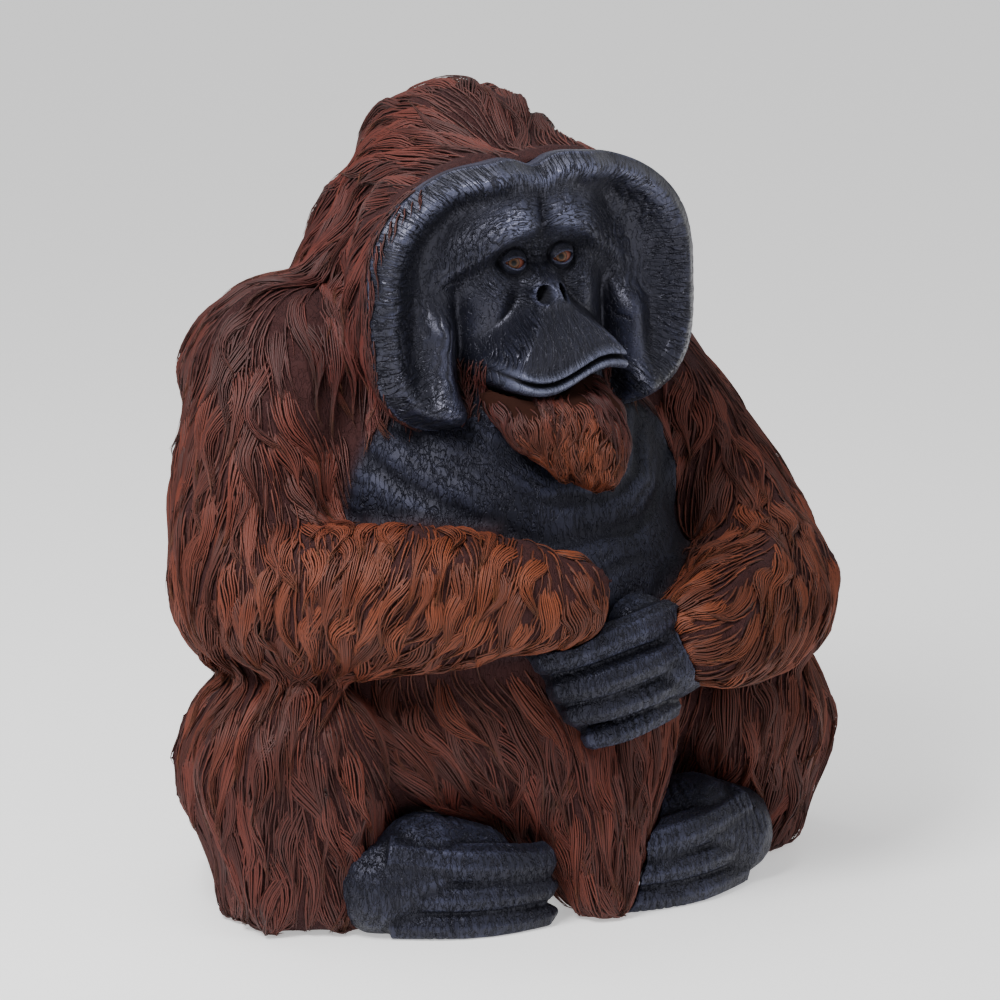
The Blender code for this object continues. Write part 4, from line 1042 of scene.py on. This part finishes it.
def strand_tree():
    """Node tree that turns each drawn line into a strand with its ridge facing out."""
    tree = bpy.data.node_groups.new("carved_strands", "GeometryNodeTree")
    for name, kind in (
        ("Lines", "NodeSocketGeometry"),
        ("Strand Width", "NodeSocketFloat"),
        ("Strand Height", "NodeSocketFloat"),
        ("Finish", "NodeSocketMaterial"),
    ):
        tree.interface.new_socket(name, in_out="INPUT", socket_type=kind)
    tree.interface.new_socket("Strands", in_out="OUTPUT", socket_type="NodeSocketGeometry")
    start = tree.nodes.new("NodeGroupInput").outputs
    end = tree.nodes.new("NodeGroupOutput")

    def add(kind, settings=None, values=None):
        node = tree.nodes.new(kind)
        for key, value in (settings or {}).items():
            setattr(node, key, value)
        for key, value in (values or {}).items():
            if isinstance(value, bpy.types.NodeSocket):
                tree.links.new(value, node.inputs[key])
            else:
                node.inputs[key].default_value = value
        return node.outputs[0]

    curves = add("GeometryNodeMeshToCurve", {}, {"Mesh": start["Lines"]})
    outward = add("GeometryNodeInputNamedAttribute", {"data_type": "FLOAT_VECTOR"}, {"Name": "outward"})
    girth = add("GeometryNodeInputNamedAttribute", {"data_type": "FLOAT"}, {"Name": "girth"})
    turned = add("GeometryNodeSetCurveNormal", {"mode": "FREE"}, {"Curve": curves, "Normal": outward})
    profile = add("GeometryNodeCurvePrimitiveCircle", {"mode": "RADIUS"}, {"Resolution": 3, "Radius": 0.5})
    split = add("ShaderNodeSeparateXYZ", {}, {0: add("GeometryNodeInputPosition")})
    ridge = add("ShaderNodeMath", {"operation": "GREATER_THAN"}, {0: split, 1: 0.0})
    stored = {"Name": "crest", "Geometry": profile, "Value": ridge}
    marked = add("GeometryNodeStoreNamedAttribute", {"data_type": "FLOAT"}, stored)
    sizes = add("ShaderNodeCombineXYZ", {}, {"X": start["Strand Height"], "Y": start["Strand Width"]})
    flat = add("GeometryNodeTransform", {}, {"Geometry": marked, "Scale": sizes})
    swept = {"Curve": turned, "Profile Curve": flat, "Scale": girth, "Fill Caps": True}
    solid = add("GeometryNodeCurveToMesh", {}, swept)
    solid = add("GeometryNodeRealizeInstances", {}, {"Geometry": solid})
    painted = add("GeometryNodeSetMaterial", {}, {"Geometry": solid, "Material": start["Finish"]})
    tree.links.new(painted, end.inputs[0])
    return tree


def coat_paint(name):
    """Dark grooves, a red or orange body by warmth, and dry-brushed ridges and tips."""
    paint = Paint(name)
    crest, tone = paint.number("crest"), paint.number("tone")
    warmth, along = paint.number("warmth"), paint.number("along")
    broad = paint.cloud(6.0, 3.0)
    streak = paint.cloud(260.0, 2.0)
    ridge = (crest + (streak - 0.5) * 0.5).between(0.20, 0.95)
    ground = paint.blend(warmth, *GROOVE_COLOURS)
    middle = paint.blend(warmth, *BODY_COLOURS)
    bright = paint.blend(warmth, *RIDGE_COLOURS)
    lit = (tone + broad * 0.6 + along * 0.2 - 0.30).between(0.20, 0.90)
    colour = paint.blend(ridge, ground, middle)
    colour = paint.blend(ridge * lit * 0.80, colour, bright)
    ochre = along.between(0.70, 1.0) * tone * 0.45
    colour = paint.blend(ochre, colour, TIP_OCHRE)
    paint.set(Base_Color=colour, Roughness=streak * 0.16 + 0.48, Specular_IOR_Level=0.32)
    return paint.material


def patch_places(roots, ways):
    """Where each root falls when the skin is unwrapped into six flat charts."""
    roots, ways = np.array(roots), np.array(ways)
    rows = np.arange(len(roots))
    axis = np.abs(ways).argmax(axis=1)
    chart = axis * 2 + (ways[rows, axis] > 0)
    low = np.array(cad_box[0])
    first, second = ((roots[rows, (axis + k) % 3] - low[(axis + k) % 3]) / CHART_SPAN for k in (1, 2))
    across = (chart % CHART_COLUMNS + CHART_MARGIN + CHART_FILL * first) / CHART_COLUMNS
    up = (chart // CHART_COLUMNS + CHART_MARGIN + CHART_FILL * second) / CHART_ROWS
    return np.stack([across, up], axis=1)


def grow(name, drawn, seed, girth, finish):
    """Makes one coat piece from drawn lines by the strand tree."""
    rng = np.random.default_rng(seed)
    count, stations = len(drawn), len(drawn[0][0])
    spots = np.array([[s[0] for s in line] for line, *_ in drawn])
    outs = np.array([[s[1] for s in line] for line, *_ in drawn])
    spots[:, :, 2] = np.maximum(spots[:, :, 2], STRAND_HEIGHT)
    spots[:, 1:-1] = 0.5 * spots[:, 1:-1] + 0.25 * (spots[:, :-2] + spots[:, 2:])
    outs[:, 1:-1] = 0.5 * outs[:, 1:-1] + 0.25 * (outs[:, :-2] + outs[:, 2:])
    patch = patch_places([d[3] for d in drawn], [d[4] for d in drawn])
    station = np.linspace(0, 1, stations)
    taper = (0.60 + 0.40 * np.sin(np.pi * np.minimum(1.0, station * 1.6))) * (1.0 - 0.90 * station**2.6)
    starts = (np.arange(count)[:, None] * stations + np.arange(stations - 1)).ravel()
    mesh = bpy.data.meshes.new(name)
    mesh.vertices.add(count * stations)
    mesh.vertices.foreach_set("co", spots.ravel())
    mesh.edges.add(len(starts))
    mesh.edges.foreach_set("vertices", np.stack([starts, starts + 1], axis=1).ravel())
    mesh.update()
    coat = bpy.data.objects.new(name, mesh)
    bpy.context.scene.collection.objects.link(coat)
    store(coat, "girth", (rng.uniform(0.75, 1.2, (count, 1)) * taper).ravel())
    store(coat, "warmth", np.repeat([d[1] for d in drawn], stations))
    store(coat, "tone", np.repeat([d[2] for d in drawn], stations))
    store(coat, "along", np.array([[s[2] for s in line] for line, *_ in drawn]).ravel())
    store(coat, "patch_u", np.repeat(patch[:, 0], stations))
    store(coat, "patch_v", np.repeat(patch[:, 1], stations))
    store(coat, "outward", outs.reshape(-1, 3))
    strands = coat.modifiers.new("strands", "NODES")
    strands.node_group = STRAND_TREE
    inputs = {item.name: item.identifier for item in STRAND_TREE.interface.items_tree}
    strands[inputs["Strand Width"]] = STRAND_WIDTH * girth
    strands[inputs["Strand Height"]] = STRAND_HEIGHT * girth
    strands[inputs["Finish"]] = finish
    freeze(coat)
    mesh = coat.data
    keys = ("patch_u", "patch_v", "along", "crest")
    value = {key: read(mesh.attributes[key].data, "value", 1).ravel() for key in keys}
    loops = read(mesh.loops, "vertex_index", 1, int).ravel()
    u = value["patch_u"] + value["along"] * PATCH
    v = value["patch_v"] + value["crest"] * PATCH
    layer = mesh.uv_layers.new(name="OFBake")
    layer.data.foreach_set("uv", np.stack([u[loops], v[loops]], axis=1).astype(np.float32).ravel())
    for key in ("patch_u", "patch_v", "outward", "girth"):
        if key in mesh.attributes:
            mesh.attributes.remove(mesh.attributes[key])
    mesh.shade_smooth()
    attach(coat, "root")


STRAND_TREE = strand_tree()
coat_finish = coat_paint("brushed_coat")
FLAT_HAIR = {
    "stations": 7, "strands": 1, "wide": 0.0, "long": 0.85, "sway": 0.12, "curl": 0.25, "swirl": 0.55,
    "ripple": 0.0012, "lift": 0.0040, "sink": -0.0004, "way": None, "avoids_bare": True, "bright": 0.75,
}
LOCKS = {
    **FLAT_HAIR,
    "stations": 10, "strands": 11, "wide": 0.031, "long": 1.22, "sway": 0.62, "curl": 0.80, "bright": 1.0,
    "ripple": 0.0034, "lift": 0.0095, "sink": 0.0002,
}
# Hair, spacing of its roots and seed of their places, for each layer of the coat
LAYERS = {"flat": (FLAT_HAIR, 0.0090 * COARSE, 5), "locks": (LOCKS, 0.0275 * COARSE, 6)}
ROOT_FLOOR = 0.030
FACE_GAP = 0.0015
LIMB_GAP = 0.004
# Each of these has a piece for either half, to keep the pieces small
HALVED = ("shoulders", "lower_back")
SLOTS = {
    "coat_head": ("crown", "nape", "mane_right", "mane_left"),
    "coat_shoulder": ("shoulders",),
    "coat_arm": ("upper_arm_right", "upper_arm_left"),
    "coat_forearm": ("forearm_right", "forearm_left"),
    "coat_body": ("lower_back", "rump", "lap", "knee_right", "knee_left", "thigh_right", "thigh_left"),
}
slot_of = {node: slot for slot, nodes in SLOTS.items() for node in nodes}
skin_tree = tree_of(body)
face_tree = tree_of(face)
bare_limbs = [(tree_of(limb), LIMB_GAP) for limb in (hands, *feet)]
keep_clear = [(face_tree, FACE_GAP), *bare_limbs]
rooted = {}
for layer, (_, spacing, seed) in LAYERS.items():
    for spot in sprinkle(body, spacing, seed):
        if spot.z < ROOT_FLOOR or is_bare(spot) or too_near(spot, bare_limbs):
            continue
        node, half = owner_of(spot), ""
        if node in HALVED:
            half = "_right" if spot.x < 0 else "_left"
        rooted.setdefault((node, half, layer), []).append(spot)
for k, ((node, half, layer), roots) in enumerate(sorted(rooted.items())):
    if node not in slot_of:
        continue
    rng = np.random.default_rng(20 + k)
    drawn = []
    for root in roots:
        comb_lock(skin_tree, keep_clear, rng, root, LAYERS[layer][0], drawn)
    if drawn:
        grow(f"{layer}_{node}{half}", drawn, 60 + k, 1.0, coat_finish)


# Beard, the hair beside the mouth and the fringe on the right cheek flange: shorter and
# finer than the coat, most of it orange, and rooted on the chin and on the face itself.
BEARD_HAIR = {
    **LOCKS,
    "strands": 8, "wide": 0.019, "long": 0.74, "sway": 0.35, "curl": 0.45, "ripple": 0.0030,
    "lift": 0.0065, "avoids_bare": False, "bright": 0.65,
}
BEARD_FLAT = {**FLAT_HAIR, "long": 0.5, "ripple": 0.0020, "sway": 0.35, "avoids_bare": False, "bright": 0.70}
JAW_HAIR = {**BEARD_FLAT, "long": 0.42, "way": (0.0, 0.25, -1.0), "lift": 0.0050}
FRINGE_HAIR = {**BEARD_FLAT, "long": 0.30, "way": (0.0, -0.15, -1.0), "ripple": 0.0008, "bright": 0.7}
BEARD_GIRTH = 0.85
FACE_HAIR_GIRTH = 0.75
FACE_HAIR_SPACING = 0.0044 * COARSE
# Where the hair beside the mouth is rooted, from the foot to the top of the muzzle's edge
JAW_FOOT, JAW_TOP = -0.140, -0.066
JAW_INSIDE, JAW_OUTSIDE = 0.002, 0.016
JAW_BACK = -0.030
# Where the fringe is: its share of the way to the outline, depths and bearings in degrees
FRINGE_SHARE = 0.955
FRINGE_BACK, FRINGE_FRONT = -0.045, -0.014
FRINGE_FOOT, FRINGE_TOP = -40, 44
beard_tree = tree_of(beard_core)
rng = np.random.default_rng(50)
for name, style, spacing, seed in (
    ("beard_flat", BEARD_FLAT, 0.0062, 8),
    ("beard_locks", BEARD_HAIR, 0.0130, 9),
):
    drawn = []
    for spot in sprinkle(beard_core, spacing * COARSE, seed):
        comb_lock(beard_tree, [], rng, spot, style, drawn)
    grow(name, drawn, 51, BEARD_GIRTH, coat_finish)

to_face = FACE.inverted()
jaw, fringe = [], []
for spot in sprinkle(face, FACE_HAIR_SPACING, 10):
    u, v, w = to_face @ spot
    side, bearing = abs(u), math.degrees(math.atan2(v, abs(u)))
    half_width = float(muzzle_wall(u, v)[1])
    by_mouth = half_width - JAW_INSIDE < side < half_width + JAW_OUTSIDE
    if w > JAW_BACK and JAW_FOOT < v < JAW_TOP and by_mouth:
        comb_lock(face_tree, [], rng, spot, JAW_HAIR, jaw)
    edge = math.hypot(u, v) / float(face_reach(np.array(math.atan2(v, u))))
    on_edge = edge > FRINGE_SHARE and FRINGE_BACK < w < FRINGE_FRONT
    if u < 0 and on_edge and FRINGE_FOOT < bearing < FRINGE_TOP:
        comb_lock(face_tree, [], rng, spot, FRINGE_HAIR, fringe)
grow("jaw_hair", jaw, 52, FACE_HAIR_GIRTH, coat_finish)
grow("flange_fringe", fringe, 53, FACE_HAIR_GIRTH, coat_finish)
